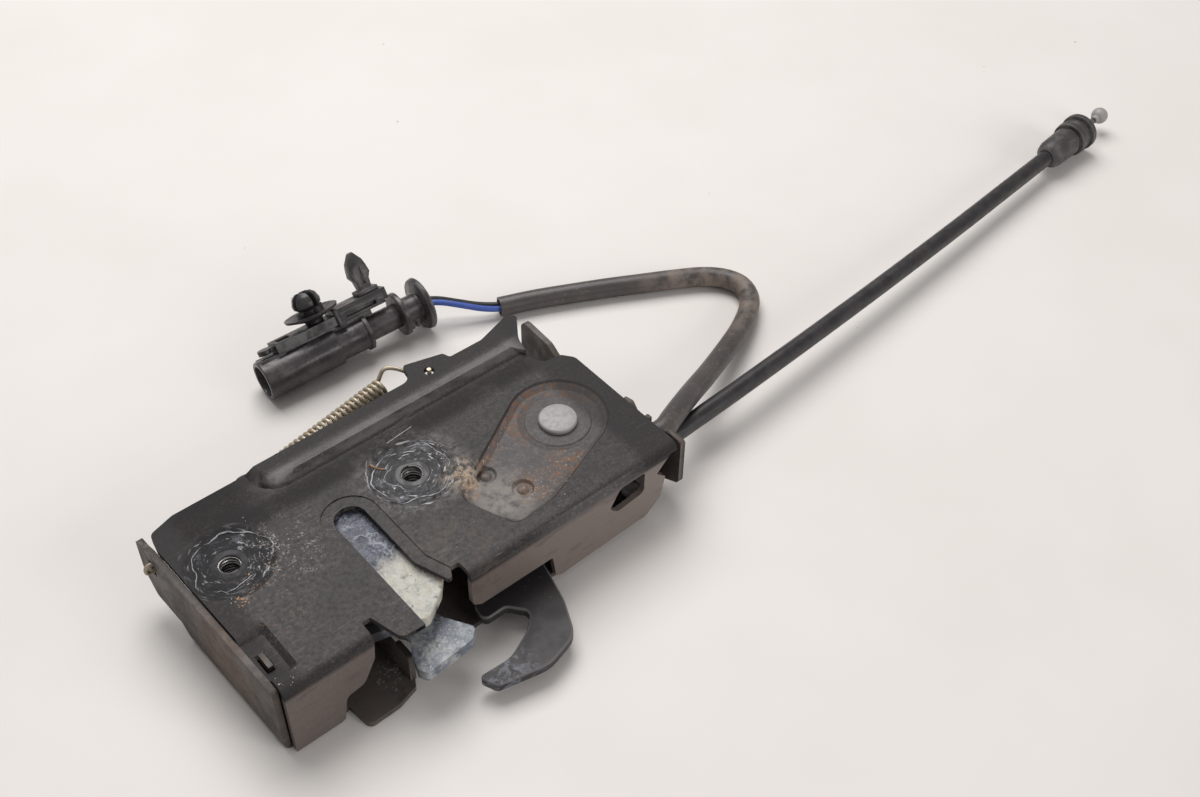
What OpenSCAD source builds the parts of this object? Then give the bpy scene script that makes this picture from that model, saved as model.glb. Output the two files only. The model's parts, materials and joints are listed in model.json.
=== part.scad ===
// Bonnet latch: folded steel case with a claw, safety hook, pawl, release lever,
// springs, a contact switch with its lead, and a pull cable with a ball end.
// The case lies on its back plate. +X runs along the folded edge, +Y away from
// the striker mouth and +Z out of the front plate.

/* [Case] */
// Length of the front plate along its folded edge
plate_l = 144.5; // [140:0.5:152]
// Depth of the front plate from the fold to the far edge
plate_d = 73.5; // [72:0.5:78]
// Height of the case, from the rest face to the front plate's face
case_h = 30; // [29:0.5:33]
// Sheet thickness of both plates
sheet_t = 2; // [1.6:0.1:2.2]
// Outer radius of the folds
fold_r = 3; // [2.6:0.1:4]
// How far the strip along the far edge stands above the front plate
strip_rise = 1.8; // [1:0.1:1.9]
// Width of the raised strip
strip_w = 12; // [10:0.5:13]
// Depth of the sunken field round the main rivet
recess_depth = 2.4; // [1.6:0.1:2.6]
// Radius of the sunken field round the main rivet
recess_r = 16.5; // [15:0.5:18]
// Width of the run from the plate's face down to a sunken field
recess_run = 2.2; // [1.4:0.1:2.6]
// Width of the sunken corner pocket's floor
pocket_w = 6.8; // [6:0.2:8]

/* [Striker slot] */
// Centre line of the striker slot
slot_x = 48.5; // [46:0.5:50]
// Width of the striker slot
slot_w = 10.4; // [9:0.2:11.4]
// How far the slot runs in from the fold
slot_end = 43.5; // [36:0.5:46]
// Width of the coined border round the slot
slot_border = 4; // [3:0.5:5]

/* [Fixings] */
// Left fixing hole, along the fold
left_hole_x = 12; // [11:0.5:14]
// Left fixing hole, from the fold
left_hole_y = 47; // [45:0.5:50]
// Right fixing hole, along the fold
right_hole_x = 73.4; // [73:0.2:75]
// Right fixing hole, from the fold
right_hole_y = 42; // [40:0.5:44]
// Wall radius of the M8 fixing threads
thread_r = 3.4; // [3.3:0.05:3.6]
// Outer radius of the collar on each fixing thread
collar_r = 5.5; // [5:0.1:6]
// Radius of the dished seat round each fixing hole
seat_r = 14; // [12:0.5:15]
// Depth of the dished seat
seat_depth = 1; // [0.7:0.1:1.2]
// Radius of the flat pad inside the dished seat
seat_pad_r = 9; // [8:0.2:9.6]

/* [Claw] */
// Claw pivot, along the fold
claw_x = 18; // [17:0.5:20]
// Claw pivot, from the fold
claw_y = 16; // [14:0.5:18]
// Radius of the claw pivot pin
claw_pin_r = 5; // [4:0.1:5.4]
// Thickness of the claw plate
claw_t = 4; // [3:0.1:4.4]
// Height of the claw plate's lower face above the rest face
claw_z = 14; // [13.6:0.1:14.4]
// Thickness of the claw's moulded cover
cover_t = 4; // [3:0.1:4.2]

/* [Safety hook] */
// Hook pivot, along the fold
hook_x = 91; // [90:0.5:92]
// Hook pivot, from the fold
hook_y = 25; // [24:0.5:26]
// Radius of the hook pivot pin
hook_pin_r = 4; // [3.2:0.1:4.4]
// Thickness of the safety hook
hook_t = 3.5; // [2.5:0.1:3.8]
// Height of the hook's lower face above the rest face
hook_z = 4.5; // [4.2:0.1:4.8]

/* [Release] */
// Main rivet, along the fold
rivet_x = 123; // [122:0.5:124]
// Main rivet, from the fold
rivet_y = 31.8; // [31:0.2:33]
// Radius of the main rivet's head
rivet_head_r = 6.3; // [5.5:0.1:7]
// Radius of the main rivet's bearing shank
rivet_r = 5; // [4.5:0.1:5.4]
// Thickness of the release lever
lever_t = 3; // [2:0.1:3.2]
// Height of the lever's lower face above the rest face
lever_z = 8.6; // [8.4:0.1:8.8]
// Outer radius of the pawl's bearing on the right fixing bush
bush_r = 6.5; // [6.3:0.1:7]

/* [Springs] */
// Wire diameter of the two extension springs
spring_wire = 1.5; // [1.1:0.1:1.6]
// Outer diameter of the lift spring outside the case
lift_spring_od = 6.6; // [5:0.2:7]
// Turns of the lift spring
lift_spring_turns = 24; // [16:1:26]
// Outer diameter of the pawl spring inside the case
pawl_spring_od = 5; // [4:0.2:5.4]
// Turns of the pawl spring
pawl_spring_turns = 16; // [10:1:20]

/* [Switch] */
// Width of the switch body
switch_w = 14; // [12:0.5:15]
// Depth of the switch body
switch_d = 17; // [14:0.5:18]
// Height of the switch body
switch_h = 19; // [18.6:0.1:20]
// Radius of the switch plunger
plunger_r = 1.6; // [1.2:0.1:2]

/* [Cable] */
// Outer diameter of the pull cable
cable_d = 6.4; // [5.6:0.2:7]
// Bore of the pull cable's sheath
cable_bore = 3; // [2.8:0.1:3.4]
// Diameter of the inner wire
wire_d = 1.6; // [1.2:0.1:1.7]
// Diameter of the ball on the far end
ball_d = 6.8; // [6:0.2:8]
// Length of the end fitting
fitting_l = 26; // [24:0.5:28]
// Radius of the end fitting's flanges
fitting_flange_r = 7.6; // [7:0.1:7.7]

/* [Lead and connector] */
// Outer diameter of the lead's sleeve
sleeve_d = 7.5; // [6.5:0.1:7.8]
// Diameter of each wire
lead_wire_d = 2.2; // [1.8:0.1:2.4]
// Wall thickness of the lead's sleeve
sleeve_wall = 0.7; // [0.5:0.05:0.8]
// Length of the connector housing's barrel
barrel_l = 40; // [36:0.5:42]
// Radius of the connector barrel
barrel_r = 7.2; // [6.8:0.1:7.4]
// Radius of the connector's socket
socket_r = 5.7; // [5:0.1:6]
// Radius of the large rear flange
rear_flange_r = 10; // [9:0.1:10.2]

/* [Hidden] */

$fn = 48;
// running clearance of a pin in its bore, and the plain gap between moving pieces
run_gap = 0.05;
move_gap = 0.3;
// overlap that lets cuts pass right through a face
eps = 1;

// the part's origin lies on the rest face, on the slot's centre line
origin_y = 58;
wall_y = -1.5;
fold_y = wall_y + fold_r;
// the plate's left edge leans outwards from the near corner
case_left = 0.1;
lean = 0.03;
wall_turn = atan(lean);
wall_gap = 0.3;
plate_z = case_h - sheet_t;
cover_gap = 1.3;
cover_z = plate_z - cover_gap - cover_t;
recess_top = case_h - recess_depth;
recess_z = recess_top - sheet_t;
lever_top = lever_z + lever_t;
slot_left = slot_x - slot_w / 2;
slot_right = slot_x + slot_w / 2;
strip_y = plate_d - strip_w;
strip_x = 33;
strip_ramp = 3.4;
strip_top = case_h + strip_rise;
pad_rise = 0.4;
seat_top = case_h - seat_depth + pad_rise;
// line about which the far right corner is bent up, and its steepness
lip_at = [124, 74.5];
lip_turn = -57.9;
lip_slope = 0.2;
// the gap in the fold at the striker mouth
mouth_left = 29.5;
mouth_right = 63.5;
// the opening in the near wall for the safety hook
hook_gap_end = 95;
hook_gap_slant = 1.2;
hook_gap_z = 13.2;
// the back plate's end walls
end_wall_x = plate_l - 1.7;
bracket_x = plate_l + 2;
far_ear = plate_d + 0.5;
wall_x = case_left - lean * 50 - wall_gap - sheet_t;
lip_x = slot_left - 5;
tab_x = 103;
tab_hole = [102.4, plate_d - 0.4];
tab_hole_r = 1.8;
// where the lift spring hooks the claw's tail, and the pawl spring the pawl
tail_hole = [36, 80.5];
tail_r = 4;
pawl_hole = [62, 60.4];
hook_hole_r = 1;
// the lead and the cable pass through the end bracket here
cable_y = 12.3;
cable_z = 13.85;
lead_y = 11;
lead_z = case_h - 7.4;
ferrule_at = [bracket_x - 3, cable_y - 0.2, cable_z + 0.06];
ferrule_r = 4.6;
ferrule_groove_r = 3.2;
// the lever's far tip and its nipple slot
lever_tip = [130.8, 4.7];
lever_tip_r = 3.8;
tip_side = lever_tip_r + 0.1;
stud_shank_r = 1.2;
nipple_at = [127.6, 11.15];
nipple_r = 2.4;
stud_head_r = 3;
stud_head_t = 1.6;
nipple_play = 0.5;
lever_push = [97, 46];
lever_push_r = 2.4;
pawl_tail_y = lever_push[1] - lever_push_r - move_gap;
plunger_x = 87;
switch_x = 80.5;
switch_y = 50.5;
switch_z = sheet_t;

// routes of the lead and the cable
lead_start_z = switch_z + switch_h - 3.5;
lead_route = [[switch_x + switch_w, 60, lead_start_z], [switch_x + switch_w + 3, 60, lead_start_z],
    [104, 59.8, lead_z - 4], [112, 58.5, lead_z - 3.1], [120, 55, lead_z - 2.3], [127, 49.5, lead_z - 2],
    [132, 42, lead_z - 2], [134.8, 34, lead_z - 2], [135.6, 26, lead_z - 1.8], [136.8, 19, lead_z - 1.4],
    [139.2, 13.6, lead_z - 0.6], [bracket_x - 3.5, lead_y, lead_z], [bracket_x, lead_y, lead_z]];
sleeve_route = [[bracket_x, lead_y, lead_z], [bracket_x + 4, lead_y, lead_z], [157, 14, lead_z - 1.4],
    [165, 17.6, lead_z - 3.2],
    [174, 22, 16.2], [185, 27, 12.6], [196, 32, 9.8], [207, 37, 7.6], [217, 42, 5.6], [226, 47.5, 4.6],
    [232, 53, 4], [234.4, 60, 4], [232, 67, 4], [226, 73, 4], [217, 78.5, 4], [206, 84.5, 4], [194, 91, 4],
    [182, 97, 4], [169.5, 103, 4], [157, 108, 4]];
blue_route = [[169.1, 101.9, 4.2], [162.5, 104.6, 4.2], [156.6, 106.9, 4.2], [150.6, 110, 5.6],
    [144.6, 114, 7.8], [138.6, 118.4, 9.6], [133.4, 121.1, 10.2], [127, 122, 10], [120.5, 122.4, 9.6],
    [114.5, 122.3, 9.4]];
black_route = [[169.9, 104.1, 4.2], [163.5, 106.6, 4.2], [157.4, 109.1, 4.2], [151, 113, 5.2],
    [145, 117.4, 7], [139, 121.4, 9], [133.4, 123.4, 10.1], [127, 124.2, 9.9], [120.5, 124.6, 9.5],
    [114.5, 124.6, 9.3]];
cable_route = [[151, 12.5, 13.75], [165, 13.4, 13.4], [185, 14.7, 12.9], [205, 16.2, 12.4],
    [225, 17.8, 11.9], [245, 19.5, 11.4], [265, 21.3, 10.9], [285, 23.2, 10.4], [305, 25.2, 9.9],
    [325, 27.3, 9.4], [345, 29.5, 9], [365, 31.7, 8.6], [384, 33.8, 8.3]];
wire_start = [nipple_at[0], nipple_at[1], 14.3];
wire_bend = [140, 11.9, 14];
cable_end = cable_route[len(cable_route) - 1];
cable_dir = 20 * unit(cable_end - cable_route[len(cable_route) - 2]);
wire_end = cable_end + cable_dir * 1.95;

// connector place on the table
connector_at = [68, 126.4, 7.6];
connector_yaw = -3.6;
connector_tilt = -2.2;
connector_roll = -34;
neck_r = 4.6;
rail_w = 10;
rail_z = barrel_r;
rail_h = 3.4;
clip_z = rail_z + rail_h;
// the carrier's box, and the places of its two clips
box_x = 31.5;
box_h = 5.2;
rosette_x = 25.5;
tree_x = 47;

// basic helpers
function xy(p) = [p[0], p[1]];
function unit(v) = v / norm(v);
function turn(a, b) = (b - a + 540) % 360 - 180;
function heading(v) = atan2(v[1], v[0]);
function arc(c, r, a0, a1, n) =
    [for (i = [0:n]) let (a = a0 + (a1 - a0) * i / n) c + r * [cos(a), sin(a)]];

// one corner of an outline, rounded to radius r; a straight corner stays as it is
function corner(a, b, c, r, n) =
    r <= 0 || norm(unit(a - b) + unit(c - b)) < 0.01 ? [b] :
    let (u = unit(a - b), v = unit(c - b), half = acos(u * v) / 2, centre = b + unit(u + v) * r / sin(half),
        from = b + u * r / tan(half), to = b + v * r / tan(half),
        a0 = heading(from - centre), a1 = a0 + turn(a0, heading(to - centre)))
    arc(centre, r, a0, a1, n);

// an outline given as [x, y, corner radius] points
function outline(p, n = 5) =
    [for (i = [0:len(p) - 1])
        each corner(xy(p[(i + len(p) - 1) % len(p)]), xy(p[i]), xy(p[(i + 1) % len(p)]),
            len(p[i]) > 2 ? p[i][2] : 0, n)];

// twice the area inside an outline, negative when it runs clockwise
function area(p) = [for (i = [0:len(p) - 1]) cross(p[i], p[(i + 1) % len(p)])] * [for (q = p) 1];
function backwards(p) = [for (i = [len(p) - 1:-1:0]) p[i]];

module shape(p, n = 5) {
    line = outline(p, n);
    polygon(area(line) < 0 ? backwards(line) : line);
}

module slab(z, t) {
    translate([0, 0, z]) linear_extrude(t) children();
}

module at_frame() {
    translate([-slot_x, -origin_y, 0]) children();
}

module post(p, r, z0, z1) {
    translate([p[0], p[1], z0]) cylinder(r = r, h = z1 - z0);
}

// a straight run of folded sheet along +X: quarter bend from a wall to a top face
module fold_bend(x0, x1) {
    centre = [fold_y, case_h - fold_r];
    translate([x0, 0, 0]) rotate([90, 0, 90]) linear_extrude(x1 - x0)
        polygon(concat(arc(centre, fold_r, 90, 180, 8), arc(centre, fold_r - sheet_t, 180, 90, 8)));
}

// a sheet standing in the XZ plane with its outer face at y0
module upright_xz(y0, t) {
    translate([0, y0 + t, 0]) rotate([90, 0, 0]) linear_extrude(t) children();
}

// a sheet standing in the YZ plane with its left face at x0
module upright_yz(x0, t) {
    translate([x0, 0, 0]) rotate([90, 0, 90]) linear_extrude(t) children();
}

// a round tube swept along a route
function side_of(t) = unit(cross(t, abs(t[2]) > 0.9 * norm(t) ? [1, 0, 0] : [0, 0, 1]));
function tangent(p, i) = unit(p[min(i + 1, len(p) - 1)] - p[max(i - 1, 0)]);
function ring_points(p, i, r, n) =
    let (t = tangent(p, i), u = side_of(t), v = cross(t, u))
    [for (k = [0:n - 1]) p[i] + r * (u * cos(360 * k / n) + v * sin(360 * k / n))];

module sweep(p, r, n) {
    last = len(p) - 1;
    polyhedron(
        points = [for (i = [0:last]) each ring_points(p, i, r, n)],
        faces = concat(
            [[for (k = [0:n - 1]) k]],
            [[for (k = [n - 1:-1:0]) last * n + k]],
            [for (i = [0:last - 1], k = [0:n - 1])
                let (a = i * n + k, b = i * n + (k + 1) % n)
                [a, a + n, b + n, b]]));
}

// the same with a bore right through
module hollow_sweep(p, r, bore_r, n) {
    last = len(p) - 1;
    size = (last + 1) * n;
    polyhedron(
        points = concat([for (i = [0:last]) each ring_points(p, i, r, n)],
            [for (i = [0:last]) each ring_points(p, i, bore_r, n)]),
        faces = concat(
            [for (k = [0:n - 1]) let (j = (k + 1) % n) [k, j, size + j, size + k]],
            [for (k = [0:n - 1]) let (j = (k + 1) % n, e = last * n) [e + j, e + k, size + e + k,
            size + e + j]],
            [for (i = [0:last - 1], k = [0:n - 1])
                let (a = i * n + k, b = i * n + (k + 1) % n)
                [a, a + n, b + n, b]],
            [for (i = [0:last - 1], k = [0:n - 1])
                let (a = size + i * n + k, b = size + i * n + (k + 1) % n)
                [b, b + n, a + n, a]]));
}

// the centre line of an extension spring between two points: a helix with a straight lead at each end
function spring_line(a, b, r, turns, steps) =
    let (d = unit(b - a), u = side_of(d), v = cross(d, u), n = turns * steps)
    [for (i = [0:n])
        let (w = 360 * i / steps)
        a + (b - a) * i / n + r * (u * cos(w) + v * sin(w))];

// a torsion spring's coil, rising about +Z
function coil_line(c, r, z0, pitch, turns, steps, a0) =
    [for (i = [0:turns * steps])
        let (w = a0 + 360 * i / steps)
        [c[0] + r * cos(w), c[1] + r * sin(w), z0 + pitch * i / steps]];

// places children along a direction: +Z of the child turns to d
module along(p, d) {
    translate(p) rotate([0, acos(d[2] / norm(d)), heading(d)]) children();
}

// outlines that more than one piece uses
module slot_outline(grow) {
    shape([[slot_left - grow, -12], [slot_left - grow, slot_end + grow, slot_w / 2 + grow - 0.01],
        [slot_right + grow, slot_end + grow, slot_w / 2 + grow - 0.01], [slot_right + grow, 13, 4],
        [slot_right + grow + 4.5, 0], [slot_right + grow + 4.5, -12]], 10);
}

module recess_outline(grow) {
    translate([rivet_x, rivet_y]) circle(r = recess_r + grow);
    shape([[77 - grow, 26.6 + grow, 5], [85.4 - grow, 4.6 - grow, 4], [103 + grow, 6 - grow, 6],
        [rivet_x, rivet_y]]);
}

module pocket_outline(grow) {
    shape([[-4, 5.7 - grow], [pocket_w + grow, 5.7 - grow, 1], [pocket_w + grow, 21 + grow, 1],
        [-4, 21 + grow]]);
}

// a sunken field whose floor lies at z, with sloped sides; grow makes the outer skin of the same form
module recess_body(z, grow) {
    hull() {
        slab(z, 0.01) recess_outline(grow - recess_run);
        slab(z + recess_depth, 0.01) recess_outline(grow);
    }
}

module pocket_body(z, grow) {
    hull() {
        slab(z, 0.01) pocket_outline(grow);
        slab(z + recess_depth, 0.01) pocket_outline(grow + recess_run - 0.5);
    }
}

// the raised strip along the far edge, with its foot at z
module strip_body(z) {
    hull()
        for (s = [0, 1])
            slab(z + s * (strip_rise - 0.01), 0.01) strip_zone(s * strip_ramp);
}

module strip_zone(inset) {
    shape([[strip_x + inset, strip_y + inset, 9], [2 * plate_l, strip_y + inset],
        [2 * plate_l, 2 * plate_d],
        [strip_x + inset, 2 * plate_d]]);
}

// everything beyond the line of the bent-up corner
module lip_zone() {
    translate(lip_at) rotate(lip_turn) translate([-10, 0]) square([31, 40]);
}

module front_outline() {
    far = plate_d;
    right = plate_l;
    shape([[case_left, fold_y], [mouth_left, fold_y], [mouth_left, 4.6, 0.9], [mouth_left + 3, 4.6, 0.9],
        [mouth_left + 6, -7, 2.5], [slot_left + 2, -7], [slot_left + 2, 1.6], [mouth_right - 4.5, 1.6, 0.5],
        [mouth_right - 3, 4.6, 0.9], [mouth_right, 4.6, 0.9], [mouth_right, fold_y], [right, fold_y],
        [right, 49, 3], [right - 3, 53, 2], [right - 9.5, 53.6, 4], [right - 12, 59, 4],
        [right - 10.6, 66, 8],
        [right - 5, 74, 1.5], [right - 8, 76.2, 1.2], [right - 20, far + 0.5, 6],
        [tab_x + 8.6, far + 0.6, 1],
        [tab_x + 7.6, far + 3.4, 1.2], [tab_x - 6.2, far + 7.2, 1.4], [tab_x - 7.6, far, 4], [8, far, 5],
        [1.6 - lean * far, far - 2.5, 2.5], [case_left - lean * (far - 9), far - 9, 3]]);
}

module near_wall() {
    top = case_h - fold_r;
    foot = 0.6;
    right_foot = 2.4;
    right_end = plate_l - 2.6;
    difference() {
        union() {
            shape([[case_left, top], [case_left, foot], [16.5, foot, 1.5], [18.3, 10.6, 2.4],
                [24.5, 11.6, 3],
                [mouth_left - 0.6, 20, 3], [mouth_left, top]]);
            shape([[mouth_right, top], [mouth_right, 15.4, 1.5], [mouth_right + 3, hook_gap_z, 1],
                [hook_gap_end - hook_gap_slant, hook_gap_z, 0.8], [hook_gap_end, right_foot + 1, 0.8],
                [hook_gap_end + 2, right_foot], [right_end - 9.5, right_foot + 1.6, 4],
                [right_end - 3.6, 9.4, 4], [right_end, top]]);
        }
        shape([[116.8, 18.6, 1.2], [121, 25.4, 2.4], [131, 25.6, 1], [131, 16.6, 2.2], [120, 15.2, 2]]);
    }
}

module fixing_seat(p) {
    translate([p[0], p[1], case_h]) rotate_extrude()
        polygon([[0, eps], [seat_r, eps], [seat_r, 0], [seat_r - 2.4, -seat_depth],
            [seat_pad_r + 1, -seat_depth], [seat_pad_r, pad_rise - seat_depth],
            [0, pad_rise - seat_depth]]);
}

// a round dimple with a dome left standing in it
module dimple(p) {
    depth = 1.2;
    translate([p[0], p[1], recess_top - depth]) rotate_extrude()
        polygon(concat([[0, eps + depth], [3.6, eps + depth], [3.6, depth], [2.9, 0.1], [2.2, 0]],
            arc([0, -1.3], 2.4, 35, 90, 6)));
}

module front_sheet() {
    difference() {
        union() {
            slab(plate_z, sheet_t) front_outline();
            intersection() {
                strip_body(case_h);
                slab(case_h - eps, strip_rise + 2 * eps) front_outline();
            }
        }
        strip_body(plate_z - 0.005);
        slab(0, 2 * case_h) lip_zone();
    }
    // far right corner, bent up about its slanting line
    translate([lip_at[0], lip_at[1], plate_z + strip_rise]) rotate(lip_turn)
        multmatrix([[1, 0, 0, 0], [0, 1, 0, 0], [0, lip_slope, 1, 0]])
            linear_extrude(sheet_t) rotate(-lip_turn) translate(-lip_at) intersection() {
                front_outline();
                lip_zone();
            }
}

module front_plate() color("#2c2b2c") at_frame() difference() {
    union() {
        front_sheet();
        // under skin of the sunken field and of the corner pocket
        recess_body(recess_z, 1.2);
        intersection() {
            pocket_body(recess_z, 1.2);
            slab(0, case_h) front_outline();
        }
        fold_bend(case_left, mouth_left);
        fold_bend(mouth_right, plate_l);
        upright_xz(wall_y, sheet_t) near_wall();
    }
    recess_body(recess_top, 0);
    pocket_body(recess_top, 0);
    // coined border of the slot, then the slot itself
    slab(case_h - 0.4, eps) slot_outline(slot_border);
    slab(0, 2 * case_h) slot_outline(0);
    fixing_seat([left_hole_x, left_hole_y]);
    fixing_seat([right_hole_x, right_hole_y]);
    post([left_hole_x, left_hole_y], collar_r, plate_z - eps, case_h + eps);
    post([right_hole_x, right_hole_y], collar_r, plate_z - eps, case_h + eps);
    post([rivet_x, rivet_y], rivet_r - 1, recess_z - eps, case_h);
    // groove round the pad under the rivet head, and the two pressed dimples
    translate([rivet_x, rivet_y, recess_top - 0.5]) rotate_extrude()
        polygon([[11, 0], [11.8, 0], [13, 0.5], [13, 0.5 + eps], [10.6, 0.5 + eps], [10.6, 0.5]]);
    dimple([hook_x + 0.2, hook_y + 3.2]);
    dimple([96.9, 16.7]);
    // slot for the staked tab, and the hole for the spring hook
    translate([0.9, 8.2, recess_z - eps]) cube([3, 7.2, case_h]);
    post(tab_hole, tab_hole_r, plate_z, strip_top + eps);
    // right-hand end of the fold follows the wall's slant
    translate([plate_l - 2.6, wall_y - eps, case_h - fold_r]) rotate([0, 45, 0])
        translate([0, 0, -8]) cube([8, fold_r, 8]);
}

module back_outline() {
    right = end_wall_x;
    near = wall_y + sheet_t + move_gap;
    far = plate_d - 3.5;
    side = wall_x + fold_r;
    difference() {
        union() {
            shape([[side + lean * 50, near], [19.4, near], [20.4, -8.2, 2], [31, -8, 4], [38.2, -6, 1.6],
                [40.4, -2.4, 2], [slot_left - 0.6, near], [slot_right + 3, near, 1], [right - 8, near, 3],
                [right - 2, 8, 3], [right - 2, 34], [right, 36], [right, far], [8, far, 4],
                [side, far - 10],
                [side, 50]]);
            translate([right - 6, 9]) square([bracket_x - right + 6 + sheet_t, 21]);
        }
        slot_outline(0.6);
    }
}

// profile of the back plate's left wall, in Y and Z
module left_wall() {
    top = plate_z + 1;
    difference() {
        shape([[1, fold_r], [52, fold_r], [55, 6, 2], [far_ear - 5, 6, 2], [far_ear, 14, 2],
            [far_ear, top - 1, 1.6],
            [far_ear - 5, top - 1, 0.5], [far_ear - 8, top], [1, top, 1]]);
        shape([[64.4, 19, 0.8], [67.6, 19, 0.8], [67.6, 25, 0.8], [64.4, 25, 0.8]]);
    }
}

module back_plate() color("#3a342f") at_frame() difference() {
    union() {
        slab(0, sheet_t) back_outline();
        // left wall and the bend from the floor to it, along the leaning edge
        translate([wall_x, 50, 0]) rotate(wall_turn) translate([-wall_x, -50, 0]) {
            upright_yz(wall_x, sheet_t) left_wall();
            translate([0, 52, 0]) rotate([90, 0, 0]) linear_extrude(51)
                polygon(concat(arc([wall_x + fold_r, fold_r], fold_r, 180, 270, 8),
                    arc([wall_x + fold_r, fold_r], fold_r - sheet_t, 270, 180, 8)));
        }
        // right end wall with its ear behind the bent-up corner
        upright_yz(end_wall_x - sheet_t, sheet_t)
            shape([[36, sheet_t - 0.5], [plate_d - 3.5, sheet_t - 0.5], [plate_d, 16, 4],
                [plate_d, strip_top - 0.2, 3],
                [59, strip_top - 1.4, 3], [54.6, plate_z - 0.6, 1], [50, plate_z - 2, 2], [46, 18, 4],
                [36, 12, 3]]);
        // bracket that holds the cable and the lead
        upright_yz(bracket_x, sheet_t) difference() {
            shape([[9, sheet_t - 0.5], [9, 4, 1], [-1, 9, 2], [-1, plate_z, 1.2], [5, plate_z, 1],
                [8, 26, 1],
                [17, 26, 1], [18.5, 22.5, 0.6], [21, 23, 0.6], [24, plate_z - 1.5, 1],
                [28, plate_z - 2.5, 1.2],
                [30, 14, 2], [30, sheet_t - 0.5]]);
            translate([cable_y, cable_z]) circle(r = 4.1);
            translate([cable_y - 3.4, cable_z]) square([6.8, 6]);
            translate([lead_y, lead_z]) circle(r = sleeve_d / 2 + 0.2);
            translate([lead_y - sleeve_d / 2 - 0.2, lead_z]) square([sleeve_d + 0.4, case_h]);
        }
        // staked tab that locks the two plates at the corner
        translate([1.7, 8.8, sheet_t - 0.5]) cube([1.6, 5.6, recess_top + 1.5 - sheet_t + 0.5]);
        // stiffening lip beside the slot, tall at the mouth
        upright_yz(lip_x, sheet_t)
            shape([[-3.4, sheet_t - 0.5], [22, sheet_t - 0.5], [22, 4, 1], [9, 4, 2], [4, claw_z - 1, 2],
                [-3.4, claw_z - 1, 1]]);
    }
    for (p = [[right_hole_x, right_hole_y], [left_hole_x, left_hole_y]])
        post(p, thread_r + 1.1, -eps, sheet_t + eps);
    for (p = [[claw_x, claw_y], [hook_x, hook_y], [rivet_x, rivet_y]])
        post(p, 4, -eps, sheet_t + eps);
    for (x = [switch_x + 3, switch_x + switch_w - 3])
        post([x, switch_y + switch_d - 3], 1.5, -eps, sheet_t + eps);
}

// collar with the fixing thread, flush with the floor of its dished seat
module weld_nut() color("#6d6a66") at_frame() difference() {
    union() {
        post([left_hole_x, left_hole_y], collar_r, plate_z - 8, seat_top);
        post([left_hole_x, left_hole_y], collar_r + 2, plate_z - 8, plate_z);
    }
    post([left_hole_x, left_hole_y], thread_r, 0, case_h + eps);
}

// full-height bush that spaces the plates, takes a fixing bolt and carries the pawl
module threaded_bush() color("#6d6a66") at_frame() difference() {
    union() {
        post([right_hole_x, right_hole_y], bush_r + 2.5, sheet_t, claw_z - move_gap);
        post([right_hole_x, right_hole_y], bush_r, sheet_t, plate_z);
        post([right_hole_x, right_hole_y], collar_r, sheet_t, seat_top);
    }
    post([right_hole_x, right_hole_y], thread_r, 0, case_h + eps);
}

module pawl_spacer() color("#57534f") at_frame() difference() {
    post([right_hole_x, right_hole_y], bush_r + 2, claw_z + claw_t + move_gap, plate_z);
    post([right_hole_x, right_hole_y], bush_r, claw_z, plate_z + eps);
}

module main_rivet() color("#c9c9c6") at_frame() translate([rivet_x, rivet_y, 0]) rotate_extrude()
    polygon(concat(
        [[0, 0.2], [4, 0.2], [4, sheet_t], [rivet_r + 2, sheet_t], [rivet_r + 2, lever_z - move_gap],
            [rivet_r, lever_z - move_gap], [rivet_r, recess_z], [rivet_r - 1, recess_z],
            [rivet_r - 1, recess_top],
            [rivet_head_r, recess_top], [rivet_head_r, recess_top + 1.3]],
        [[rivet_head_r - 0.5, recess_top + 1.8], [rivet_head_r - 2.5, recess_top + 2],
        [0, recess_top + 2.1]]));

module claw_pin() color("#8b8883") at_frame() translate([claw_x, claw_y, 0]) rotate_extrude()
    polygon([[0, 0.2], [4, 0.2], [4, sheet_t], [claw_pin_r + 3, sheet_t],
        [claw_pin_r + 3, claw_z - move_gap],
        [claw_pin_r, claw_z - move_gap], [claw_pin_r, plate_z - move_gap], [0, plate_z - move_gap]]);

module claw_circlip() color("#4a4743") at_frame()
    translate([claw_x, claw_y, cover_z + cover_t + 0.1]) linear_extrude(0.7) difference() {
        circle(r = claw_pin_r + 2.4);
        circle(r = claw_pin_r);
        translate([0, -1]) square([20, 2]);
    }

module hook_pin() color("#8b8883") at_frame() translate([hook_x, hook_y, 0]) rotate_extrude()
    polygon([[0, 0.2], [4, 0.2], [4, sheet_t], [hook_pin_r + 3, sheet_t],
        [hook_pin_r + 3, hook_z - move_gap],
        [hook_pin_r, hook_z - move_gap], [hook_pin_r, 12.2], [hook_pin_r + 2.4, 12.2],
        [hook_pin_r + 2.4, 13.2],
        [0, 13.2]]);

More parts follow.
